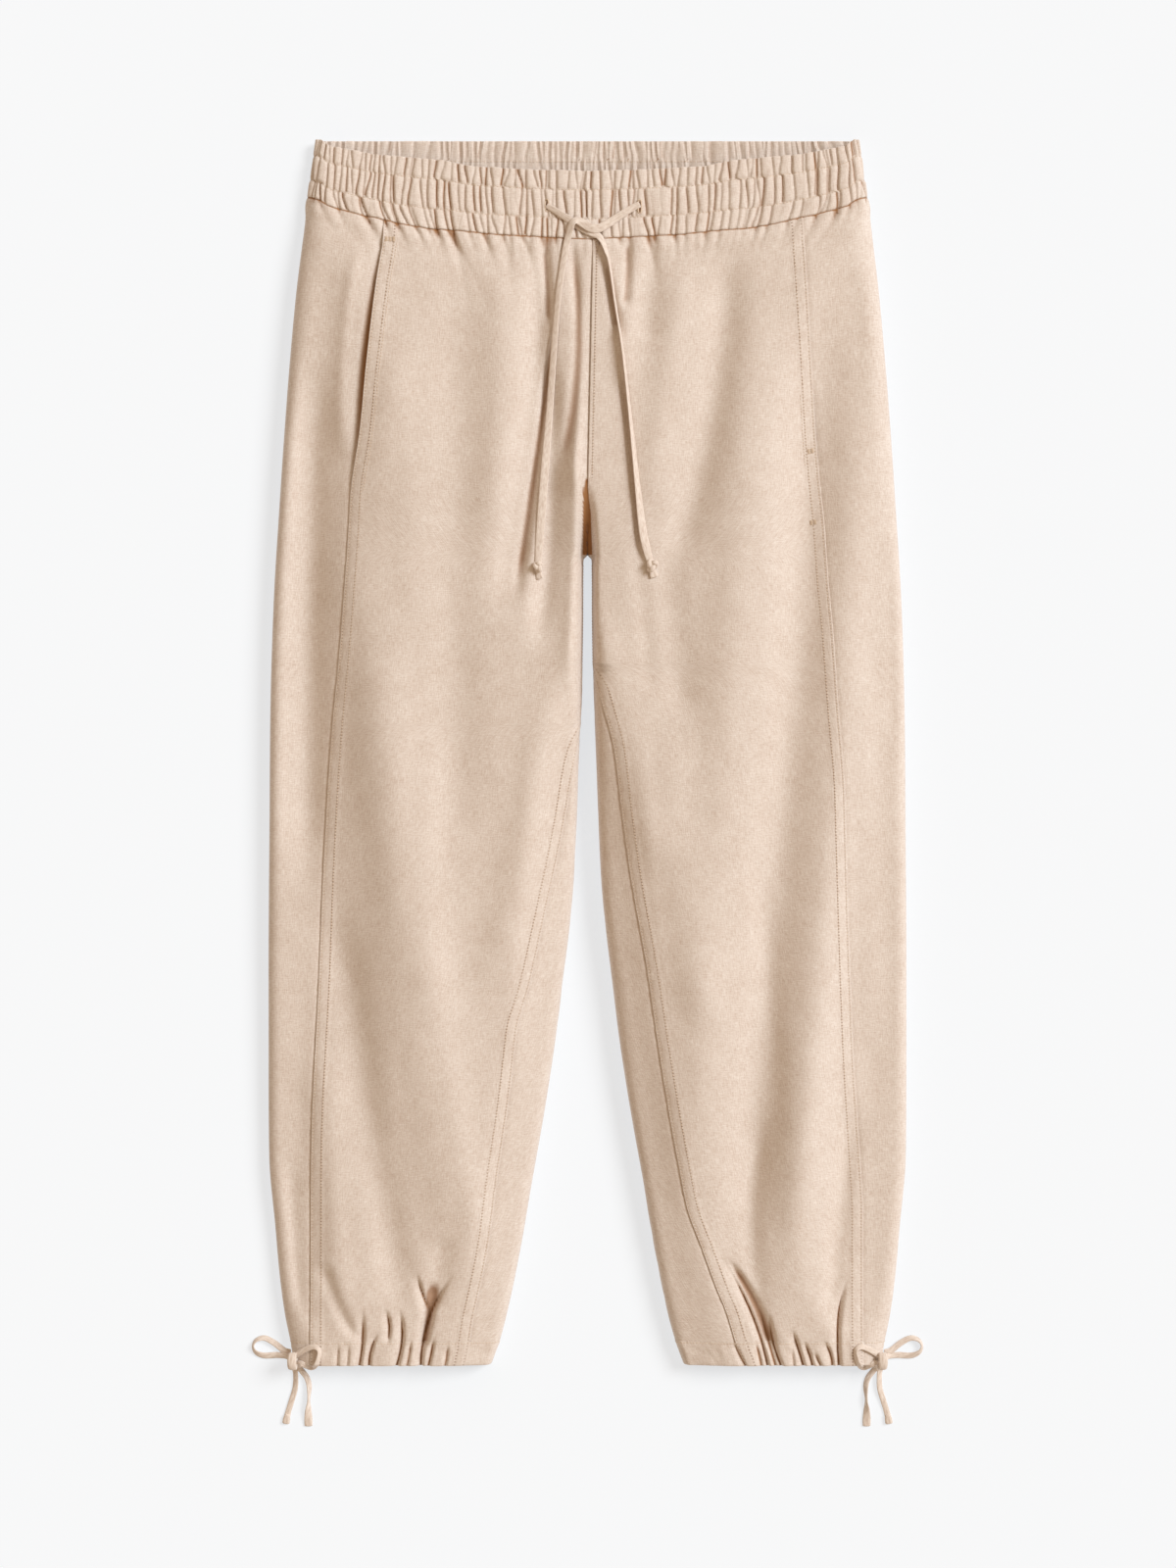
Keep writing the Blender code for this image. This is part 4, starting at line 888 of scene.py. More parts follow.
def grid_mesh(name, points, outward, thread, across=False, along=False, crisp=(), **marks):
    """A surface over a grid: corner (i, j) to (i + 1, j + 1).

    It goes on to its start where it closes across or along.  thread holds
    lengths across and along for the weave, one row or column more where the
    grid is closed.  Each mark is a number for every point.  The rows in crisp
    are cut ends that keep the cloth's own shading.
    """
    rows, cols = points.shape[:2]
    i, j = np.indices((rows if along else rows - 1, cols if across else cols - 1))
    r = np.stack([i, i + 1, i + 1, i], axis=-1).reshape(-1, 4)
    c = np.stack([j, j, j + 1, j + 1], axis=-1).reshape(-1, 4)
    at = points[r % rows, c % cols]
    normal = np.cross(at[:, 2] - at[:, 0], at[:, 3] - at[:, 1])
    if (normal * outward[r[:, 0] % rows, c[:, 0] % cols]).sum() < 0:
        r, c = r[:, ::-1], c[:, ::-1]
    mesh = mesh_of(name, points.reshape(-1, 3), (r % rows) * cols + c % cols)
    if crisp:
        ends = np.zeros((rows, cols), bool)
        ends[list(crisp)] = True
        pairs = np.zeros(2 * len(mesh.edges), np.int32)
        mesh.edges.foreach_get("vertices", pairs)
        sharp = ends.ravel()[pairs.reshape(-1, 2)].all(axis=1)
        layer = mesh.attributes.new("sharp_edge", "BOOLEAN", "EDGE")
        layer.data.foreach_set("value", sharp)
    uv = np.stack([t[r, c] for t in thread], axis=-1) * MM
    weave = mesh.uv_layers.new(name="weave")
    weave.data.foreach_set("uv", uv.astype(np.float32).ravel())
    for mark, values in marks.items():
        layer = mesh.attributes.new(mark, "FLOAT", "POINT")
        layer.data.foreach_set("value", np.asarray(values, np.float32).ravel())
    return mesh


def wall(piece, thickness):
    """A cloth wall inside an open surface."""
    solid = piece.modifiers.new("cloth wall", "SOLIDIFY")
    solid.thickness = thickness * MM
    solid.offset = -1.0
    solid.use_rim = True


def repeated(name, shape, corners, centres, along, up, sizes):
    """Copies of one small shape: x goes along, z up, y across, times sizes."""
    axes = np.stack([along, np.cross(up, along), up], axis=1)[:, None]
    local = (shape * sizes[:, None])[..., None] * axes
    points = centres[:, None] + local[:, :, 0] + local[:, :, 1] + local[:, :, 2]
    first = np.arange(len(centres))[:, None, None] * len(shape)
    faces = (corners + first).reshape(-1, corners.shape[1])
    return mesh_of(name, points.reshape(-1, 3), faces)


def spindle(sides=5):
    """A blunt thread of length 1 and width 1: two rings and two end points."""
    k = np.arange(sides)
    n = (k + 1) % sides
    angle = 2 * math.pi * k / sides
    rings = [
        np.stack([np.full(sides, x), 0.5 * np.cos(angle), 0.5 * np.sin(angle)], 1)
        for x in (-0.32, 0.32)
    ]
    shape = np.concatenate([*rings, [[-0.5, 0, 0]], [[0.5, 0, 0]]])
    tips = np.full((2, sides), 2 * sides) + [[0], [1]]
    sets = ((k, n, k + sides), (n, n + sides, k + sides), (n, k, tips[0]))
    sets += ((k + sides, n + sides, tips[1]),)
    corners = np.concatenate([np.stack(corner, 1) for corner in sets])
    at = shape[corners]
    normal = np.cross(at[:, 1] - at[:, 0], at[:, 2] - at[:, 0])
    flip = (normal * at.mean(1)).sum(1) < 0
    corners[flip] = corners[flip][:, ::-1]
    return shape, corners


# --------------------------------------------------------------------- cloth
made = {}


class Cloth:
    """A grid of the finished cloth: points, normals and lengths across it."""

    def __init__(self, points, outward, lengths):
        normal = np.cross(np.gradient(points, axis=0), np.gradient(points, axis=1))
        normal = normal * np.sign((normal * outward).sum(-1, keepdims=True))
        size = np.linalg.norm(normal, axis=-1, keepdims=True)
        self.points, self.lengths = points, lengths
        self.normals = normal / np.maximum(size, 1e-9)

    def down(self, length):
        """Points and normals down the grid at a length from the section's start."""
        want = np.broadcast_to(length, (len(self.lengths), 1)).astype(float)
        index = np.arange(self.lengths.shape[1], dtype=float)
        index = np.broadcast_to(index, self.lengths.shape)
        at = between(self.lengths, index, want)[:, 0]
        i = np.arange(len(self.lengths))
        j = np.clip(np.floor(at).astype(int), 0, self.points.shape[1] - 2)
        t = (at - j)[:, None]
        return [v[i, j] * (1 - t) + v[i, j + 1] * t for v in (self.points, self.normals)]


def panel_levels():
    """Levels of a panel's rows, closer at the waist, the groin and the hem."""
    levels, counts = zip(*PANEL_ROWS)
    parts = [
        np.linspace(above, below, count, endpoint=False)
        for above, below, count in zip(levels, levels[1:], counts)
    ]
    return np.concatenate(parts + [np.linspace(levels[-1], CASING_TOP, counts[-1])])


def pocket_mouth(side, y):
    """0 to 1: how open the pocket mouth is at a level."""
    upper, lower, opening = POCKETS[side]
    t = np.clip((upper - y) / (upper - lower), 0.0, 1.0)
    return np.sin(math.pi * t) ** 0.7 * opening / POCKET_GAPE


def felled(away, seed, along):
    """Relief of the double-stitched strip beside a seam's edge.

    A low step, a dip along each row of stitches and small puckers across.
    """
    strip = FELL_RISE * step(FELL + 1.6, FELL - 0.6, away)
    for row in STITCH_ROWS:
        strip = strip - ROW_DIP * bell(away - row, ROW_SPREAD)
    spot = (np.zeros_like(along) + 0.5, along + RELIEF_SHIFT)
    puckers = lattice(*spot, 1.0, SEAM_PUCKER_PITCH, seed)
    return strip + SEAM_PUCKER * puckers * step(FELL_END, 2.0, away)


def groin_slit(side, h, y):
    """Height of a front beside the slit above the crotch, and the shade painted in it.

    The puff's rim stands at the slit's edge, and its sill lies between.
    """
    wide = straight(GROIN_SLIT, y, 1 if side == RIGHT else 2)
    inside = step(wide + 0.7, wide - 0.7, h) * step(229.0, 224.0, y)
    inside = inside * step(CROTCH - 2.0, CROTCH, y)
    rim = groin_height(np.maximum(h - wide, GROIN_SILL), y)
    return rim - GROIN_DROP * inside, inside


def front_edges(side, level, section):
    """Lengths at which a front starts and ends, for each level."""
    centre = straight(CENTRE_SEAM, level)
    lap = LAP * (0.4 + 0.6 * step(205.0, 232.0, level))
    lapped = centre if side == LEFT else -centre - lap
    start = np.where(level > CROTCH, lapped, section.inner_seam())
    return start, section.side_seam() - POCKET_GAPE * pocket_mouth(side, level)


def back_edges(side, level, section):
    """Lengths at which a back starts, under the front, and ends."""
    inner = section.inner_seam()
    start = section.side_seam() - LAP - POCKET_REACH * pocket_mouth(side, level)
    return start, section.loop + np.where(inner > 0, inner + LAP, 0.0)


def spaced(marks, parts, wide):
    """Lengths across a panel: close to both edges, and even between places.

    parts gives, for each stretch between the edges, where it ends and into
    how many columns it is cut.
    """
    near = np.array(marks)
    columns = [np.broadcast_to(near, (len(wide), len(near)))]
    first = near[-1]
    for last, count in parts:
        t = np.linspace(0, 1, count + 1)[None, 1:]
        columns.append(first + t * (last - first))
        first = last
    columns.append(wide - near[::-1][1:])
    return np.concatenate(columns, axis=1)


def panel_cloth(side, part, gather, pucker):
    """The outer surface of a front or back, from the waist seam to the casing.

    Each row is one section, cut between its two seams.  A front's edges lie
    on the back's, and the left front's on the right front's.
    """
    level = panel_levels()[:, None]
    share = straight(WAIST_SHARES, level)
    section = Sections(side, level[:, 0], lambda p, h: level + share * waist_rise(p, h))
    mouth = pocket_mouth(side, level)
    start, end = (front_edges if part == "front" else back_edges)(side, level, section)
    wide = end - start
    if part == "front":
        marks, parts = FRONT_MARKS, [(wide - FRONT_MARKS[-1], FRONT_COLUMNS)]
    else:
        turn = section.a[:, [OUTER]] + UNDER_EDGE - start
        marks, parts = BACK_MARKS, zip((turn, wide - BACK_MARKS[-1]), BACK_COLUMNS)
    from_start = spaced(marks, parts, wide)
    from_end = wide - from_start
    at = start + from_start
    p, h, y, z, nh, nz = section.look(at)

    # The waist's gathers run on as puckers under the seam, on a low puff.
    below = WAIST_SEAM_LEVEL - level + (1 / np.maximum(share, 0.05) - 1) * (y - level)
    x = np.where(at < 0, at, waist_place(side)(np.clip(p, -3, 3)))
    rows = level[:, 0] > WAIST_SEAM_LEVEL - PUCKER_REACH
    dip = np.zeros_like(h)
    dip[rows] = Gathers(side).panel(x[rows], below[rows])
    puff = WAIST_PUFF * bell(below - WAIST_PUFF_BELOW, WAIST_PUFF_WIDE) * (1.0 - dip)
    # Painted shade: brown in the puckers under the seam and along the seam's groove.
    hollow = np.clip(1.5 * dip, 0.0, 1.0) * np.exp(-np.maximum(below, 0.0) / PUCKER_SHADE_RUN)
    hollow = np.maximum(hollow, step(1.1, 0.5, np.abs(below)))
    dip = (gather + (pucker - gather) * step(0.0, 4.0, below)) * dip
    dip = dip + SEAM_GROOVE * step(2.2, 0.4, below)
    dip = dip + TUCKED_DEPTH * step(0.0, -0.6 * TUCK, below)
    # The hem's creases bring their painted shade into the panel.
    hem, crease_shade = hem_dips(side, p, h, y)
    out = puff - dip - hem
    hollow = np.maximum(hollow, crease_shade)
    edge = np.full_like(h, FAR)
    if part == "front":
        out = out + felled(from_end, SIDE_SEED + side, y)
        out = out + LIP_RISE * mouth * np.exp(-from_end / LIP_FADE)
        edge = from_end
        # The lap at the centre dies out where the slit between the legs starts.
        if side == LEFT:
            centre = from_start + STITCH_ROWS[1] - CENTRE_ROW
            out = out + 0.8 * felled(centre, CENTRE_SEED, y) * step(222.0, 240.0, y)
            edge = np.where(y > 226.0, np.minimum(edge, centre), edge)
        else:
            lap = step(LAP + 3.2, LAP - 0.4, from_start)
            out = out - CENTRE_SINK * lap * step(220.0, 232.0, y)
        leg = step(95.0, 50.0, y)
        out = out + felled(from_start, INNER_SEED + side, y) * leg
        edge = np.where(leg > 0.5, np.minimum(edge, from_start), edge)
        rim, inside = groin_slit(side, h, y)
        # Painted shade inside the slit between the legs.
        hollow = np.maximum(hollow, inside)
        z = np.where((p > 2) & (y > CROTCH), rim, z)
        z = np.where(y > GROIN_SLIT[-1][0], np.minimum(z, rim), z)
    else:
        lap = LAP + POCKET_REACH * mouth
        shelf = step(lap + 2.6 + 9.0 * mouth, lap - 0.6, from_start)
        out = out - (SIDE_SINK + POCKET_SINK * mouth) * shelf
        # Painted shadow on the back under the open pocket's lip.
        hollow = np.maximum(hollow, np.minimum(mouth, 1.0) * shelf)
        leg = np.where(y < CROTCH, 1.0, 0.0)
        out = out - INNER_SINK * leg * step(LAP + 2.6, LAP - 0.6, from_end)
        centre = np.where(y > CROTCH, section.loop - at, FAR)
        strip = felled(centre, BACK_SEED, y) - 0.5
        out = out + np.where(centre < FELL_END, strip, 0.0)
        edge = np.where(side == LEFT, centre, edge)
    # Painted shade at the bottom of the deep folds.
    dark = np.where(p >= 0, fold_height(DEEP_SHADED_FOLDS, side, h, y), 0.0)
    hollow = np.maximum(hollow, np.clip(-dark / FULL_SHADE_DEPTH, 0.0, MOST_FOLD_SHADE))
    lift = cloth_lift(side, p, h, y)
    points, outward = joined(side, h, y, z, nh, nz, out, lift)
    thread = (from_start, np.broadcast_to(level, h.shape))
    return points, outward, at, thread, hollow, edge


def band_rows():
    """The waistband's profile: up the outside, over the fold, down the inside.

    For each row: share of the way down, rise of the fold, 0 outside to 1 inside.
    """
    near = np.array([-0.018, -0.009, 0.0, 0.009, 0.018])
    rows = [np.linspace(0.0, 1.0, 34)] + [s + near for s in BAND_STITCHES]
    outer = np.unique(np.round(np.concatenate(rows), 4))[::-1]
    turn = np.linspace(0, math.pi, 7)[1:-1]
    inner = np.linspace(0.0, 1.0, 15)
    share = np.concatenate([outer, np.zeros(5), inner])
    rise = np.concatenate([0 * outer, BAND_FOLD * np.sin(turn), 0 * inner])
    inside = np.concatenate([0 * outer, (1 - np.cos(turn)) / 2, 0 * inner + 1])
    return share, rise[:, None], inside[:, None]


def buttonhole_dent(x, y):
    """0 to 1: how far down into a buttonhole's slit a point of the band is."""
    dent = np.zeros_like(x)
    for centre_x, centre_y, tall in BUTTONHOLES:
        slit = step(tall / 2 + 0.8, tall / 2 - 0.8, np.abs(y - centre_y))
        dent = dent + bell(x - centre_x, 1.1) * slit
    return dent


def band_cloth(gather):
    """The gathered waistband as one closed wall, a ring of folded cloth."""
    share, rise, inside = band_rows()
    down = share[:, None]

    def height(p, h):
        upper = np.where(p >= 0, straight(FRONT_TOP_EDGE, h), BACK_TOP_EDGE)
        upper = upper - BAND_FOLD
        lower = WAIST_SEAM_LEVEL + waist_rise(p, h) + 0.1
        return upper + down * (lower - upper)

    near, close = (
        sum(bell(down - row, spread) for row in BAND_STITCHES) for spread in (0.022, 0.045)
    )
    halves = []
    for side in (RIGHT, LEFT):
        gathers = Gathers(side)
        section = Sections(side, np.full(len(share), WAIST_SEAM_LEVEL), height)
        at = ((np.arange(BAND_COLUMNS) + 0.5) / BAND_COLUMNS)[None, :] * section.loop
        p, h, y, z, nh, nz = section.look(at)
        x = waist_place(side)(p)
        pinch = 1.0 - BAND_PINCH * near
        dips = gathers.band(x, share, p)
        ruck = lattice(x + 50.0, down * 60.0 + 20.0, 2.6, 5.0, RUCK_SEED + side)
        outer_dip = gather * pinch * dips + BAND_ROW_SINK * near
        outer_dip = outer_dip + BAND_EDGE_SINK * step(0.97, 1.0, down)
        outer_dip = outer_dip + RUCK_SINK * close * (1.0 + ruck)
        slit = np.where(p > 0, buttonhole_dent(side * h, y), 0.0)
        outer_dip = outer_dip + HOLE_DEPTH * slit * (1 - inside)
        inner_dips = gathers.band(x + INSIDE_SHIFT, share, -p)
        inner_dip = INSIDE_SHARE * gather * pinch * inner_dips + INSIDE_ROW_SINK * near
        wall_in = np.maximum(BAND_DEPTH - inner_dip, outer_dip + LEAST_WALL)
        into = outer_dip + inside * (wall_in - outer_dip)
        y = y + rise * (1.0 - 0.5 * dips)
        points, outward = joined(side, h, y, z, nh, nz, -into, 0.0)
        outward = outward * np.where(inside > 0.5, -1.0, 1.0)[..., None]
        # Painted shade down in the gathers, inside and out, and in the buttonhole slits.
        hollow = np.where(inside > 0.5, inner_dip / gather, dips) ** GATHER_SHADE_POWER
        halves.append((points, outward, np.maximum(hollow, slit), at, y))
    right, left = halves
    points, outward, hollow = (
        np.concatenate([a, b[:, ::-1]], axis=1) for a, b in zip(right[:3], left[:3])
    )
    pitch = right[3][0, 1] - right[3][0, 0]
    drop = np.concatenate([right[4][:, :1], right[4][:1, :1]])
    u, v = np.broadcast_arrays(np.arange(points.shape[1] + 1)[None, :] * pitch, drop)
    return points, outward, (u, v), hollow


def casing_cloth(side):
    """The hem turned up into a tunnel: down outside, round and up inside."""
    outer = np.linspace(CASING_TOP - 0.05, HEM + 1.0, CASING_ROWS)
    turn = np.linspace(0, math.pi, 7)[1:-1]
    inside = np.linspace(HEM + 1.0, CASING_TOP - 1.5, 8)
    level = np.concatenate([outer, HEM + 1.0 - np.sin(turn), inside])[:, None]
    depth = [0 * outer, CASING_DEPTH * (1 - np.cos(turn)) / 2, 0 * inside + CASING_DEPTH]
    depth = np.concatenate(depth)[:, None]
    section = Sections(side, level[:, 0])
    seam, inner = section.side_seam(), section.inner_seam()
    at = (np.arange(CASING_COLUMNS) / CASING_COLUMNS)[None, :] * section.loop
    at = (at + inner) % section.loop
    p, h, y, z, nh, nz = section.look(at)
    y = np.broadcast_to(level, h.shape)
    # The hem's creases and the shade painted along them.
    dip, crease_shade = hem_dips(side, p, h, y)
    away = np.where(at <= seam, seam - at, FAR)
    back = np.where(at >= inner, at - inner, FAR)
    strip = felled(away, SIDE_SEED + side, y)
    strip = strip - SIDE_SINK * np.where(at > seam, step(2.6, 0.0, at - seam), 0.0)
    strip = strip + felled(back, INNER_SEED + side, y)
    groove = CASING_GROOVE * bell(y - CASING_TOP, 0.9)
    bumps = lattice(at + 40.0, y + RELIEF_SHIFT, 5.0, 7.0, CASING_SEED + side)
    pucker = CASING_PUCKER * bumps
    pucker = pucker * np.where(p < -0.5, 0.0, 1.0) * step(CASING_TOP, CASING_TOP - 4, y)
    out = strip - dip - groove - depth + pucker
    points, outward = joined(side, h, y, z, nh, nz, out, cloth_lift(side, p, h, y))
    outward = outward * np.where(depth > CASING_DEPTH / 2, -1.0, 1.0)[..., None]
    pitch = float(section.loop[0, 0]) / CASING_COLUMNS
    u, v = np.broadcast_arrays(
        np.arange(CASING_COLUMNS + 1) * pitch, np.where(depth > 0.5, 2 * HEM - level, level)
    )
    return points, outward, at, (u, v), crease_shade, np.minimum(away, back)


# ----------------------------------------------------------------- materials
def linear(hex_colour):
    """An sRGB hex colour as linear red, green and blue."""
    channels = [int(hex_colour[n : n + 2], 16) / 255 for n in (0, 2, 4)]
    return tuple(
        c / 12.92 if c <= 0.04045 else ((c + 0.055) / 1.055) ** 2.4 for c in channels
    )


def plug(tree, node, inputs):
    """Link a node's inputs, by name or number, to sockets, or set their values."""
    for key, source in inputs.items():
        if isinstance(source, bpy.types.NodeSocket):
            tree.links.new(source, node.inputs[key])
        else:
            node.inputs[key].default_value = source


def add(tree, kind, inputs, out=0, **settings):
    """Add a node with its settings and inputs, and give one of its outputs."""
    node = tree.nodes.new("ShaderNode" + kind)
    for key, value in settings.items():
        setattr(node, key, value)
    plug(tree, node, inputs)
    return node.outputs[out]


def blank_material(name):
    """A new material, add() for its tree, and plug() for its Principled shader."""
    material = bpy.data.materials.new(name)
    material.use_nodes = True
    tree = material.node_tree
    return material, partial(add, tree), partial(plug, tree, tree.nodes["Principled BSDF"])


def linen_material(name, colour, shade, fold, seams):
    """Plain-weave linen, washed: matt, with slubs both ways in its threads.

    The yarn is uneven, so the eye sees short pale and dark streaks along and
    across rather than single threads.  Down in each gather, crease, seam and slit
    a warmer brown is painted in as shade.
    """
    material, node, surface = blank_material(name)
    uv = node("UVMap", {}, uv_map="weave")
    # Real threads lie 0.5 mm apart; they are drawn 0.9 mm wide so they show.
    streaks = {}
    for n, (wide, long) in enumerate(((0.9, 7), (5, 0.9))):
        scale = (1 / wide / MM, 1 / long / MM, 1.0)
        run = node("Mapping", {"Vector": uv, "Scale": scale})
        slub = {"Vector": run, "Scale": 1.0, "Detail": 3.0, "Roughness": 0.7}
        streaks[n] = node("TexNoise", slub)
    both = node("Math", streaks, operation="ADD")
    # Washing leaves soft patches about 20 mm across.
    patch = node("TexNoise", {"Vector": uv, "Scale": 1 / 20 / MM, "Detail": 3.0})
    mixed = node("Math", {0: patch, 1: 0.3, 2: both}, operation="MULTIPLY_ADD")
    level = node("MapRange", {"Value": mixed, "From Min": 0.82, "From Max": 1.48})
    yarn = {"Factor": level, 6: (*shade, 1.0), 7: (*colour, 1.0)}
    yarn = node("Mix", yarn, 2, data_type="RGBA")
    # Painted shade: the fold brown is mixed in where the mark says gathers, creases, seams
    # and slits lie in shade.
    hollow = node("Attribute", {}, "Fac", attribute_name="hollow")
    deep = {"Value": hollow, "From Min": 0.30, "From Max": 1.0}
    deep = node("MapRange", deep, interpolation_type="SMOOTHSTEP")
    colours = node("Mix", {"Factor": deep, 6: yarn, 7: (*fold, 1.0)}, 2, data_type="RGBA")
    if seams:
        # Painted shade in the needle holes: a darker fold brown.
        hole_shade = tuple(0.6 * c for c in fold)
        pricked = {"Factor": needle_hole_shade(node, uv), 6: colours, 7: (*hole_shade, 1.0)}
        colours = node("Mix", pricked, 2, data_type="RGBA")
    bump = node("Bump", {"Height": both, "Strength": 0.9, "Distance": 0.00022})
    surface({"Base Color": colours, "Normal": bump, "Roughness": 0.92})
    surface({"Specular IOR Level": 0.25, "Sheen Weight": 0.12, "Sheen Roughness": 0.5})
    return material


def needle_hole_shade(node, uv):
    """0 to 1: painted shade in the needle's holes, one every stitch, along each stitched
    row.
    """
    edge = node("Attribute", {}, "Fac", attribute_name="edge")
    along = node("SeparateXYZ", {"Vector": uv}, "Y")
    turns = {0: along, 1: 2 * math.pi / (SEAM_STITCH[0] * MM)}
    turns = node("Math", turns, operation="MULTIPLY")
    wave = node("Math", {0: turns}, operation="SINE")
    hole_shade = node("MapRange", {"Value": wave, "From Min": 0.1, "From Max": 0.9})
    lines = {}
    for n, (row, strength) in enumerate(zip(STITCH_ROWS, (0.4, 0.8))):
        away = node("Math", {0: edge, 1: row}, operation="SUBTRACT")
        size = {"Value": node("Math", {0: away}, operation="ABSOLUTE")}
        size |= {"From Min": 0.3, "From Max": 1.0, "To Min": strength, "To Max": 0.0}
        lines[n] = node("MapRange", size)
    line = node("Math", lines, operation="MAXIMUM")
    return node("Math", {0: line, 1: hole_shade}, operation="MULTIPLY")


def tape_material(name, colour, shade):
    """Bias-cut linen tape folded and stitched flat: finer and paler than the
    cloth, with its yarns running aslant, so it shows faint diagonal ribs."""
    material, node, surface = blank_material(name)
    uv = node("UVMap", {}, uv_map="weave")
    # Yarns 0.8 mm wide, coarser than real so they show, with 5 mm slubs.
    aslant = {"Vector": uv, "Rotation": (0.0, 0.0, math.radians(40))}
    aslant = node("Mapping", aslant | {"Scale": (1 / 0.8 / MM, 1 / 5 / MM, 1.0)})
    yarns = node("TexNoise", {"Vector": aslant, "Scale": 1.0, "Detail": 2.0})
    level = node("MapRange", {"Value": yarns, "From Min": 0.3, "From Max": 0.7})
    mix = {"Factor": level, 6: (*shade, 1.0), 7: (*colour, 1.0)}
    mix = node("Mix", mix, 2, data_type="RGBA")
    bump = node("Bump", {"Height": yarns, "Strength": 0.8, "Distance": 0.0002})
    surface({"Base Color": mix, "Normal": bump, "Roughness": 0.88, "Sheen Weight": 0.1})
    return material


def thread_material(name, colour, shade):
    """Spun polyester thread: a faint sheen, and plies that darken it in steps."""
    material, node, surface = blank_material(name)
    spot = node("TexCoord", {}, "Object")
    # Plies 0.9 mm apart, coarser than real so they show.
    plies = node("TexNoise", {"Vector": spot, "Scale": 1 / 0.9 / MM, "Detail": 1.0})
    mix = {"Factor": plies, 6: (*shade, 1.0), 7: (*colour, 1.0)}
    mix = node("Mix", mix, 2, data_type="RGBA")
    surface({"Base Color": mix, "Roughness": 0.6, "Sheen Weight": 0.15})
    return material


def paper_material(name, colour):
    """Matt white paper on a light table: even, with no gloss, and lit from
    below as well, so that what lies on it throws only a faint shadow."""
    material, node, surface = blank_material(name)
    spot = node("TexCoord", {}, "Object")
    tooth = node("TexNoise", {"Vector": spot, "Scale": 900.0, "Detail": 1.0})
    bump = node("Bump", {"Height": tooth, "Strength": 0.05, "Distance": 0.0001})
    surface({"Normal": bump, "Base Color": (*colour, 1.0), "Roughness": 1.0})
    surface({"Specular IOR Level": 0.0, "Emission Strength": 1.0})
    surface({"Emission Color": (*FLOOR_GLOW, 1.0)})
    return material


# --------------------------------------------------------------------- cords
def through(points, pitch):
    """A smooth curve through route points, a point every pitch.

    Catmull-Rom: between b and c it is half of 2b + (c - a)t +
    (2a - 5b + 4c - d)t^2 + (3b - a - 3c + d)t^3, then spaced evenly.
    """
    route = np.asarray(points, dtype=float)
    ends = [2 * route[0] - route[1]], [2 * route[-1] - route[-2]]
    route = np.concatenate([ends[0], route, ends[1]])
    a, b, c, d = (v[:, None, :] for v in (route[:-3], route[1:-2], route[2:-1], route[3:]))
    t = (np.arange(16) / 16)[None, :, None]
    fine = 0.5 * (
        2 * b
        + (c - a) * t
        + (2 * a - 5 * b + 4 * c - d) * t**2
        + (3 * b - a - 3 * c + d) * t**3
    )
    fine = np.concatenate([fine.reshape(-1, route.shape[1]), route[-2:-1]])
    along = run_of(fine[:, :3])
    count = max(4, int(along[-1] / pitch) + 1)
    return placed(np.linspace(0, along[-1], count), along, fine)


def cloth_tree():
    """Search tree over the outer surfaces of the finished cloth."""
    verts, faces, first = [], [], 0
    for piece in made["cloth"]:
        mesh = piece.data
        co = np.zeros(len(mesh.vertices) * 3, np.float32)
        mesh.vertices.foreach_get("co", co)
        index = np.zeros(len(mesh.loops), np.int32)
        mesh.loops.foreach_get("vertex_index", index)
        verts.append(co.reshape(-1, 3))
        faces.append(index.reshape(-1, 4) + first)
        first += len(mesh.vertices)
    verts, faces = np.concatenate(verts).tolist(), np.concatenate(faces).tolist()
    return BVHTree.FromPolygons(verts, faces)


def cloth_height(x, y):
    """Height of the finished cloth's upper side at a point, 0 beside it."""
    above, down = Vector((x * MM, y * MM, 1.0)), Vector((0.0, 0.0, -1.0))
    spot = made["tree"].ray_cast(above, down)[0]
    return 0.0 if spot is None else spot.z / MM


def highest(x, y, across, along):
    """Height of the cloth's highest point near a place."""
    return max(cloth_height(x + dx, y + dy) for dx in across for dy in along)


def laid(route, thick):
    """The route with each point resting on the cloth, tape edge to tape edge.

    route has x, y, a least height over the cloth, a twist in degrees and the
    tape's width.
    """
    fine = through(route, ROUTE_PITCH)
    way = unit(np.gradient(fine[:, :2], axis=0))
    side = np.stack([way[:, 1], -way[:, 0]], axis=1)
    twist = np.radians(fine[:, 3])
    flat, tall = np.abs(np.cos(twist)), np.abs(np.sin(twist))
    rise = np.maximum(tall * fine[:, 4] / 2 + flat * thick / 2, thick / 2)
    reach = (flat * fine[:, 4] / 2)[:, None] * np.array([-1.0, -0.5, 0.0, 0.5, 1.0])
    spots = fine[:, None, :2] + side[:, None, :] * reach[..., None]
    under = np.array([[cloth_height(*spot) for spot in row] for row in spots])
    # Cloth gives a little where only part of the tape's width rests on it.
    height = 0.6 * under.max(axis=1) + 0.4 * under.mean(axis=1) + rise + fine[:, 2]
    for _ in range(4):
        height[1:-1] = np.maximum(height[1:-1], (height[:-2] + height[2:]) / 2)
    soft = np.convolve(np.pad(height, 3, "edge"), np.ones(7) / 7, "valid")
    return np.column_stack([fine[:, :2], np.maximum(soft, height - 0.2), fine[:, 3:]])


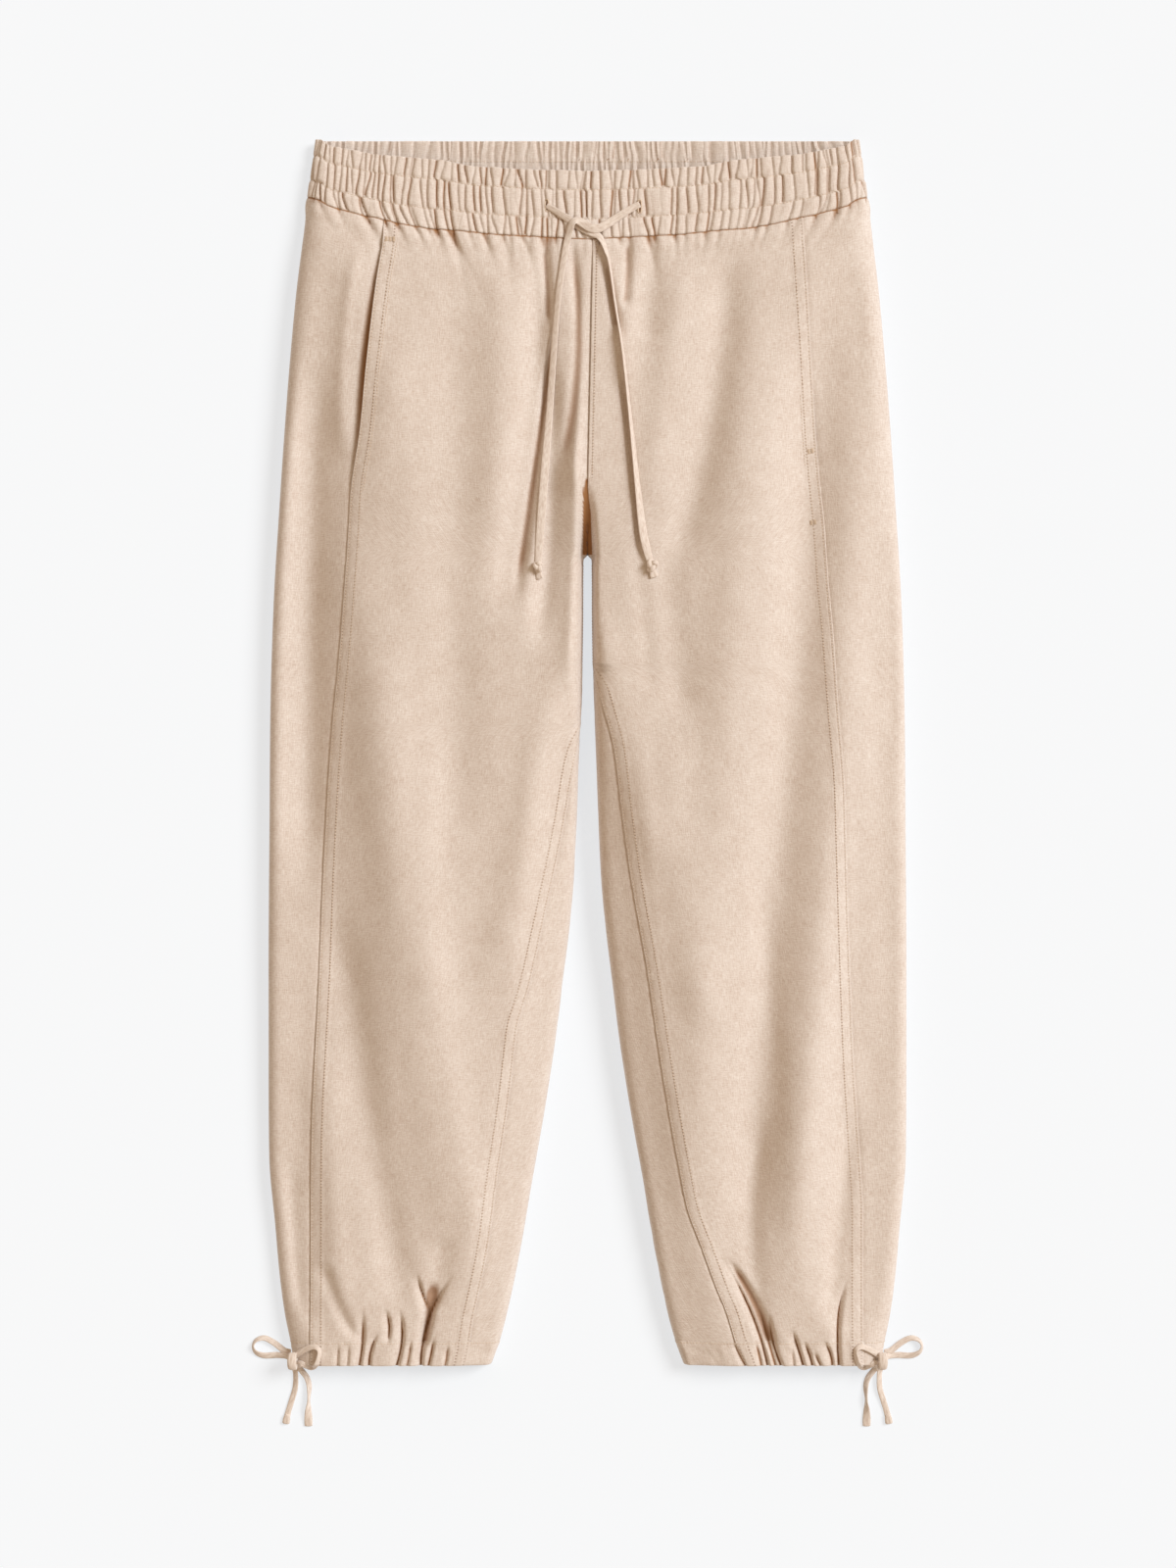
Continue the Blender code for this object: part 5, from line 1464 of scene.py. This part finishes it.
def swept(route, thick):
    """A flat rounded tape along a route: at each point a ring of TAPE_SIDES.

    The ring is a superellipse, |x / w|^n + |y / t|^n = 1 with n = TAPE_POWER,
    turned about the route by its twist; the ends are closed by a smaller ring
    and a point.
    """
    way = unit(np.gradient(route[:, :3], axis=0))
    across = np.cross(way, np.broadcast_to([0.0, 0.0, 1.0], way.shape))
    across = across / np.maximum(np.linalg.norm(across, axis=1, keepdims=True), 1e-6)
    over = np.cross(across, way)
    turn = np.radians(route[:, 3])[:, None]
    across, over = (
        across * np.cos(turn) + over * np.sin(turn),
        over * np.cos(turn) - across * np.sin(turn),
    )
    angle = 2 * math.pi * (np.arange(TAPE_SIDES) + 0.5) / TAPE_SIDES
    ring = np.array([np.cos(angle), np.sin(angle)])
    x, y = np.sign(ring) * np.abs(ring) ** (2 / TAPE_POWER)
    points = (
        route[:, None, :3]
        + x[None, :, None] * (route[:, 4] / 2)[:, None, None] * across[:, None, :]
        + y[None, :, None] * (thick / 2) * over[:, None, :]
    )
    ends = []
    for end, sign in ((0, -1.0), (-1, 1.0)):
        middle, push = route[end, :3], way[end] * sign * thick
        shrunk = middle + (points[end] - middle) * 0.7 + push * 0.35
        ends.append([np.tile(middle + push * 0.45, (TAPE_SIDES, 1)), shrunk])
    return np.concatenate([ends[0], points, ends[1][::-1]])


def tube_mesh(name, rings):
    """A closed tube from rings of points, its end rings drawn to one point."""
    middle = rings[len(rings) // 2]
    girth = np.linalg.norm(middle - np.roll(middle, 1, axis=0), axis=1).sum()
    u = np.linspace(0, girth, rings.shape[1] + 1)[None, :]
    thread = np.broadcast_arrays(u, run_of(rings.mean(1))[:, None])
    outward = rings - rings.mean(1, keepdims=True)
    mesh = grid_mesh(name, rings, outward, thread, across=True)
    bm = bmesh.new()
    bm.from_mesh(mesh)
    bmesh.ops.remove_doubles(bm, verts=bm.verts, dist=1e-6)
    bm.to_mesh(mesh)
    bm.free()
    return mesh


def tape(name, route, thick, *nodes):
    """A tape laid on the cloth along a route, and the route as it came out."""
    fine = laid(route, thick)
    mesh = tube_mesh(name, swept(fine, thick))
    return new_piece(name, mesh, made["tape"], "cord", *nodes), fine


def free_cord(far_end, with_pieces=()):
    """Does nothing: no tape is marked as a free cord here."""
    list(with_pieces)


def closed_tube(name, route, across, widths, thicks):
    """A tube along a closed route: ellipse rings set square to it.

    Each ring point is route + across * w * cos(angle) + over * t * sin(angle).
    """
    widths, thicks = (np.broadcast_to(size, len(route)) for size in (widths, thicks))
    way = unit(np.roll(route, -1, axis=0) - np.roll(route, 1, axis=0))
    across = square_to(way, np.broadcast_to(across, route.shape))
    over = np.cross(way, across)
    angle = 2 * math.pi * (np.arange(TUBE_SIDES) + 0.5) / TUBE_SIDES
    x, y = np.cos(angle)[None, :, None], np.sin(angle)[None, :, None]
    rings = (
        route[:, None, :]
        + across[:, None, :] * x * widths[:, None, None] / 2
        + over[:, None, :] * y * thicks[:, None, None] / 2
    )
    along = run_of(np.vstack([route, route[:1]]))
    girth = float(widths.mean() + thicks.mean()) * 1.6
    girth = np.linspace(0.0, girth, TUBE_SIDES + 1)
    thread = np.broadcast_arrays(girth[None, :], along[:, None])
    return grid_mesh(name, rings, rings - route[:, None, :], thread, True, True)


def overhand_knot(name, spot, thick, *nodes):
    """An overhand knot pulled tight: a trefoil, squashed flat on the cloth.

    The line is (sin t + 2 sin 2t, cos t - 2 cos 2t, -sin 3t) / 3, scaled to
    the knot's reach and turned.
    """
    x, y, reach_x, reach_y, reach_z, turn = spot
    t = 2 * math.pi * np.arange(KNOT_POINTS) / KNOT_POINTS
    a = (np.sin(t) + 2 * np.sin(2 * t)) / 3 * (reach_x - thick / 2)
    b = (np.cos(t) - 2 * np.cos(2 * t)) / 3 * (reach_y - thick / 2)
    c = -np.sin(3 * t) * (reach_z - thick / 4)
    cos, sin = math.cos(math.radians(turn)), math.sin(math.radians(turn))
    level = highest(x, y, (-3, 0, 3), (-4, 0, 4)) + reach_z + thick * 0.32
    route = np.stack([x + a * cos - b * sin, y + a * sin + b * cos, level + c], axis=1)
    mesh = closed_tube(name, route, (0.1, 0.2, 1.0), thick * 0.8, thick * 1.25)
    return new_piece(name, mesh, made["tape"], "cord", *nodes)


# ----------------------------------------------------------------- stitching
def stitch_line(points, normals, pitch, length, width):
    """Centres, ways, normals and sizes of stitches spaced along a line."""
    along = run_of(points)
    at = np.arange(pitch / 2, along[-1], pitch)
    centre, normal = placed(at, along, points), placed(at, along, normals)
    way = unit(placed(at + 0.6, along, points) - placed(at - 0.6, along, points))
    normal = square_to(way, normal)
    size = np.broadcast_to(np.array([length, width, width * 0.8]), centre.shape)
    return centre + normal * width * 0.12, way, normal, size


def stitches(name, lines, sizes, material):
    """One piece of many stitches, in rows along lines on the cloth."""
    rows = [stitch_line(*line, *sizes) for line in lines]
    centre, way, normal, size = (np.concatenate(parts) for parts in zip(*rows))
    mesh = repeated(name, *spindle(), centre, way, normal, size)
    return new_piece(name, mesh, material, "cord")


def ring_line(cloth, row):
    """A whole row of a closed grid of cloth, back to its start."""
    ring = np.r_[0 : cloth.points.shape[1], 0]
    return cloth.points[row, ring], cloth.normals[row, ring]


def front_rows(side):
    """Every row of stitches down one front: points and normals."""
    front = made["front", side]
    start, end = front.lengths[:, :1], front.lengths[:, -1:]
    rows = []
    for row in STITCH_ROWS:
        rows += [(end - row, *SIDE_STRETCH), (start + row, *INNER_STRETCH)]
    if side == LEFT:
        rows.append((start + CENTRE_ROW, *CENTRE_STRETCH))
    upper, lower, row = POCKET_ROWS[side]
    rows.append((end - row, upper, lower))
    lines = []
    for length, upper, lower in rows:
        points, normals = front.down(length)
        keep = (points[:, 1] <= upper) & (points[:, 1] >= lower)
        lines.append((points[keep], normals[keep]))
    return lines


# ------------------------------------------------------------------ settings
def colour(name, description, default):
    """A colour setting."""
    settings = {"name": name, "description": description, "default": default}
    return FloatVectorProperty(subtype="COLOR", min=0.0, max=1.0, **settings)


class TrousersCloth(bpy.types.PropertyGroup):
    """Colours and relief of the linen."""

    pale_yarn: colour("Pale yarn", "Colour of the palest linen yarns", linear("EBE3DC"))
    dark_yarn: colour("Dark yarn", "Colour of the darkest linen yarns", linear("CAB8AB"))
    # The fold colour is painted shade: the brown that stands for the shade deep in gathers,
    # creases, seams and slits.
    fold: colour("Fold", "Colour of the linen deep in a gather", linear("9B6E47"))
    thread: colour("Sewing thread", "Colour of the sewing thread", linear("E0CBB4"))
    gather: FloatProperty(
        name="Gather depth",
        description="How deep the waist's gathers dip",
        unit="LENGTH",
        default=2.7 * MM,
    )
    pucker: FloatProperty(
        name="Pucker depth",
        description="How deep the puckers under the waist seam dip",
        unit="LENGTH",
        default=5.8 * MM,
    )


class TrousersCords(bpy.types.PropertyGroup):
    """Colours of the drawstring and the hem cords."""

    pale_tape: colour("Pale tape", "Colour of the tape's palest yarns", linear("EBE1D8"))
    dark_tape: colour("Dark tape", "Colour of the tape's darkest yarns", linear("D0BFB2"))


class TrousersStage(bpy.types.PropertyGroup):
    """Floor, light and camera."""

    floor: colour("Floor", "Colour of the paper floor", (0.330, 0.331, 0.332))
    key: FloatProperty(
        name="Key light",
        description="Strength of the soft key light",
        default=2.74,
        min=0.0,
    )
    fill: FloatProperty(
        name="Fill light",
        description="Strength of the light from all round",
        default=0.50,
        min=0.0,
    )
    height: FloatProperty(
        name="Camera height",
        description="Height of the camera over the floor",
        unit="LENGTH",
        default=3.2,
    )


# ----------------------------------------------------------------- operators
class TROUSERS_OT_stage(bpy.types.Operator):
    """Set the floor, the light and the camera."""

    bl_idname = "trousers.stage"
    bl_label = "Stage"

    def execute(self, context):
        stage = context.scene.trousers_stage
        corners = np.array([[-1, -1, 0], [1, -1, 0], [1, 1, 0], [-1, 1, 0]], float)
        points = corners * FLOOR_REACH + np.array([0.0, 0.0, FLOOR_LEVEL])
        mesh = mesh_of("floor", points, np.array([[0, 1, 2, 3]]), False)
        mesh.materials.append(paper_material("white_paper", stage.floor))
        sun = bpy.data.lights.new("key", "SUN")
        sun.energy = stage.key
        sun.angle = math.radians(KEY_SOFTNESS)
        sun.color = KEY_COLOUR
        camera = bpy.data.cameras.new("camera")
        camera.sensor_fit = "VERTICAL"
        camera.sensor_height = SENSOR
        camera.lens = SENSOR * (stage.height - VIEW_LEVEL) / VIEW_TALL
        floor, lamp, eye = (
            bpy.data.objects.new(data.name, data) for data in (mesh, sun, camera)
        )
        for thing in (floor, lamp, eye):
            context.collection.objects.link(thing)
        lamp.rotation_euler = Vector(KEY_FROM).to_track_quat("Z", "Y").to_euler()
        eye.location = (*VIEW_CENTRE, stage.height)
        context.scene.camera = eye
        world = bpy.data.worlds.new("studio")
        world.use_nodes = True
        shade = world.node_tree.nodes["Background"]
        shade.inputs["Color"].default_value = (*FILL_COLOUR, 1.0)
        shade.inputs["Strength"].default_value = stage.fill
        context.scene.world = world
        context.scene.view_settings.view_transform = "Standard"
        return {"FINISHED"}


def linen(cloth, name, seams=True):
    """The trousers' linen, made once."""
    if name not in made:
        colours = (cloth.pale_yarn, cloth.dark_yarn, cloth.fold)
        made[name] = linen_material(name, *colours, seams)
    return made[name]


def sewing_thread(cloth):
    """The sewing thread's material, made once."""
    if "thread" not in made:
        dark = tuple(0.8 * c for c in cloth.thread)
        made["thread"] = thread_material("spun_polyester_thread", cloth.thread, dark)
    return made["thread"]


def seamed_piece(name, node, surface, thickness, **closed):
    """A panel or casing of seamed linen with its wall, and its finished grid."""
    cloth = bpy.context.scene.trousers_cloth
    points, outward, at, thread, hollow, edge = surface
    mesh = grid_mesh(name, points, outward, thread, hollow=hollow, edge=edge, **closed)
    piece = new_piece(name, mesh, linen(cloth, "washed_linen_seamed"), "linen", node)
    wall(piece, thickness)
    made["cloth"].append(piece)
    return piece, Cloth(points, outward, at)


class TROUSERS_OT_waistband(bpy.types.Operator):
    """Make the gathered waistband."""

    bl_idname = "trousers.waistband"
    bl_label = "Waistband"

    def execute(self, context):
        cloth, name = context.scene.trousers_cloth, "waistband_cloth"
        points, outward, thread, hollow = band_cloth(cloth.gather / MM)
        mesh = grid_mesh(name, points, outward, thread, True, True, hollow=hollow)
        linen_plain = linen(cloth, "washed_linen", False)
        band = new_piece(name, mesh, linen_plain, "linen", "waistband")
        made["band"] = Cloth(points, outward, None)
        made["cloth"] = [band]
        return {"FINISHED"}


class TROUSERS_OT_legs(bpy.types.Operator):
    """Make the fronts and the backs."""

    bl_idname = "trousers.legs"
    bl_label = "Fronts and backs"

    def execute(self, context):
        cloth = context.scene.trousers_cloth
        for side, word in SIDES:
            for part in ("back", "front"):
                surface = panel_cloth(side, part, cloth.gather / MM, cloth.pucker / MM)
                names = f"{part}_{word}_cloth", f"{part}_panel_{word}"
                piece, made[part, side] = seamed_piece(
                    *names, surface, PANEL_WALL, crisp=(-1,)
                )
        return {"FINISHED"}


class TROUSERS_OT_hems(bpy.types.Operator):
    """Make the hem casings."""

    bl_idname = "trousers.hems"
    bl_label = "Hem casings"

    def execute(self, context):
        for side, word in SIDES:
            names = f"hem_{word}_cloth", f"hem_casing_{word}"
            piece, made["hem", side] = seamed_piece(
                *names, casing_cloth(side), CASING_WALL, across=True, crisp=(0, -1)
            )
        made["tree"] = cloth_tree()
        return {"FINISHED"}


class TROUSERS_OT_stitching(bpy.types.Operator):
    """Sew the seams, the waistband and the hems."""

    bl_idname = "trousers.stitching"
    bl_label = "Stitching"

    def execute(self, context):
        thread = sewing_thread(context.scene.trousers_cloth)
        share, _, inside = band_rows()
        lines = []
        for row in BAND_STITCHES:
            for layer in (0, 1):
                rows = np.flatnonzero(inside[:, 0] == layer)
                nearest = rows[np.argmin(np.abs(share[rows] - row))]
                lines.append(ring_line(made["band"], nearest))
        stitches("waistband_stitches", lines, BAND_STITCH, thread)
        for side, word in SIDES:
            stitches(f"seam_stitches_{word}", front_rows(side), SEAM_STITCH, thread)
            hem = made["hem", side]
            row = np.argmin(np.abs(hem.points[:CASING_ROWS, 0, 1] - HEM_ROW))
            stitches(f"hem_stitches_{word}", [ring_line(hem, row)], SEAM_STITCH, thread)
        return {"FINISHED"}


class TROUSERS_OT_fastenings(bpy.types.Operator):
    """Work the buttonholes and the pocket bartacks."""

    bl_idname = "trousers.fastenings"
    bl_label = "Buttonholes and bartacks"

    def execute(self, context):
        thread = sewing_thread(context.scene.trousers_cloth)
        t = 2 * math.pi * np.arange(HOLE_POINTS) / HOLE_POINTS
        # Forty stitches are whipped over the slit's edge.
        whip = 1.15 + 0.25 * np.cos(40 * t)
        for word, (x, y, tall) in zip(("right", "left"), BUTTONHOLES):
            along = x + 1.5 * np.sign(np.cos(t)) * np.abs(np.cos(t)) ** 0.6
            up = y + (tall / 2 + 0.4) * np.sin(t)
            height = [cloth_height(a, b) for a, b in zip(along, up)]
            height = np.r_[height[-4:], height, height[:4]]
            height = np.convolve(height, np.ones(9) / 9, "valid")
            route = np.stack([along, up, height + 0.3], axis=1)
            name = f"buttonhole_{word}"
            mesh = closed_tube(name, route, (0.0, 0.0, 1.0), 0.7 * whip, whip)
            new_piece(name, mesh, thread, "cord")
        lines = []
        for x, y, turn, wide in BARTACKS:
            cos, sin = math.cos(math.radians(turn)), math.sin(math.radians(turn))
            for down in (np.arange(9) - 4) * 0.45:
                across = np.array([-1, 0, 1])[:, None] * wide / 2
                ends = (x - down * sin, y + down * cos) + across * (cos, sin)
                points = np.array([(a, b, cloth_height(a, b) + 0.1) for a, b in ends])
                lines.append((points, np.tile([0.0, 0.0, 1.0], (3, 1))))
        stitches("pocket_bartacks", lines, TACK_STITCH, thread)
        return {"FINISHED"}


class TROUSERS_OT_drawstring(bpy.types.Operator):
    """Thread and knot the waist cord."""

    bl_idname = "trousers.drawstring"
    bl_label = "Drawstring"

    def execute(self, context):
        cords = context.scene.trousers_cords
        made["tape"] = tape_material("linen_tape", cords.pale_tape, cords.dark_tape)
        hidden = {
            LEFT: ("drawstring_run_left", "drawstring_tail_right", "drawstring_knot"),
            RIGHT: ("drawstring_run_right", "drawstring_tail_left"),
        }
        ends = {LEFT: "drawstring_end_right", RIGHT: "drawstring_end_left"}
        for side, word in SIDES:
            name = f"waist_cord_{word}"
            strand, fine = tape(name, STRANDS[side], TAPE_THICK, *hidden[side])
            name = f"cord_knot_{word}"
            knot = overhand_knot(name, END_KNOTS[side], KNOT_THICK, ends[side])
            flare, _ = tape(f"cord_end_{word}", END_FLARES[side], TAPE_THICK)
            free_cord("knot", [knot, flare])
        return {"FINISHED"}


def mirrored(side, table):
    """A route on one side, from a table for either."""
    return [(side * h, y, rise, side * twist, wide) for h, y, rise, twist, wide in table]


class TROUSERS_OT_bows(bpy.types.Operator):
    """Tie the hem cords in their bows."""

    bl_idname = "trousers.bows"
    bl_label = "Hem bows"

    def execute(self, context):
        t = 2 * math.pi * np.arange(WRAP_POINTS) / WRAP_POINTS
        h, y, reach_y, reach_z, wide = BOW_WRAP
        for side, word in SIDES:
            x = side * h
            level = highest(x, y, (-3, 3), (-4, 4)) + reach_z + 0.4
            route = (x + 0.8 * np.sin(t) * side, y + reach_y * np.cos(t))
            route = np.stack([*route, level + reach_z * np.sin(t)], axis=1)
            width = wide * (0.86 + 0.14 * np.sin(t))
            name = f"bow_wrap_{word}"
            mesh = closed_tube(name, route, (1.0, 0.0, 0.0), width, WRAP_THICK)
            wrap = new_piece(name, mesh, made["tape"], "cord", f"bow_knot_{word}")
            end = f"bow_end_{word}"
            pad, _ = tape(f"{end}_pad", mirrored(side, BOW_PAD), PAD_THICK, end)
            ends = {"outer": ("knot", [wrap, pad]), "inner": ("bare", [])}
            for part, (far_end, with_pieces) in ends.items():
                nodes = (f"bow_loop_{part}_{word}", f"bow_tail_{part}_{word}")
                route = mirrored(side, HEM_CORDS[part])
                cord, fine = tape(f"hem_cord_{part}_{word}", route, HEM_TAPE_THICK, *nodes)
                free_cord(far_end, with_pieces)
        return {"FINISHED"}


STEPS = (
    TROUSERS_OT_stage,
    TROUSERS_OT_waistband,
    TROUSERS_OT_legs,
    TROUSERS_OT_hems,
    TROUSERS_OT_stitching,
    TROUSERS_OT_fastenings,
    TROUSERS_OT_drawstring,
    TROUSERS_OT_bows,
)


class TROUSERS_PT_panel(bpy.types.Panel):
    """The trousers' steps and settings in the sidebar."""

    bl_idname = "TROUSERS_PT_panel"
    bl_label = "Linen Drawstring Trousers"
    bl_space_type = "VIEW_3D"
    bl_region_type = "UI"
    bl_category = "Trousers"

    def draw(self, context):
        scene = context.scene
        for group in (scene.trousers_cloth, scene.trousers_cords, scene.trousers_stage):
            box = self.layout.box()
            for name in group.__annotations__:
                box.prop(group, name)
        for operator in STEPS:
            self.layout.operator(operator.bl_idname)


GROUPS = {
    "trousers_cloth": TrousersCloth,
    "trousers_cords": TrousersCords,
    "trousers_stage": TrousersStage,
}


def register():
    """Register the classes, and hang the settings on the scene."""
    for group in (*GROUPS.values(), *STEPS, TROUSERS_PT_panel):
        bpy.utils.register_class(group)
    for name, group in GROUPS.items():
        setattr(bpy.types.Scene, name, PointerProperty(type=group))


def unregister():
    """Take the settings and the classes away again."""
    for name in GROUPS:
        delattr(bpy.types.Scene, name)
    for group in (TROUSERS_PT_panel, *reversed(STEPS), *reversed(GROUPS.values())):
        bpy.utils.unregister_class(group)


def main():
    """Run every step."""
    register()
    for operator in STEPS:
        getattr(bpy.ops.trousers, operator.bl_idname.split(".")[1])()


if __name__ == "__main__":
    main()
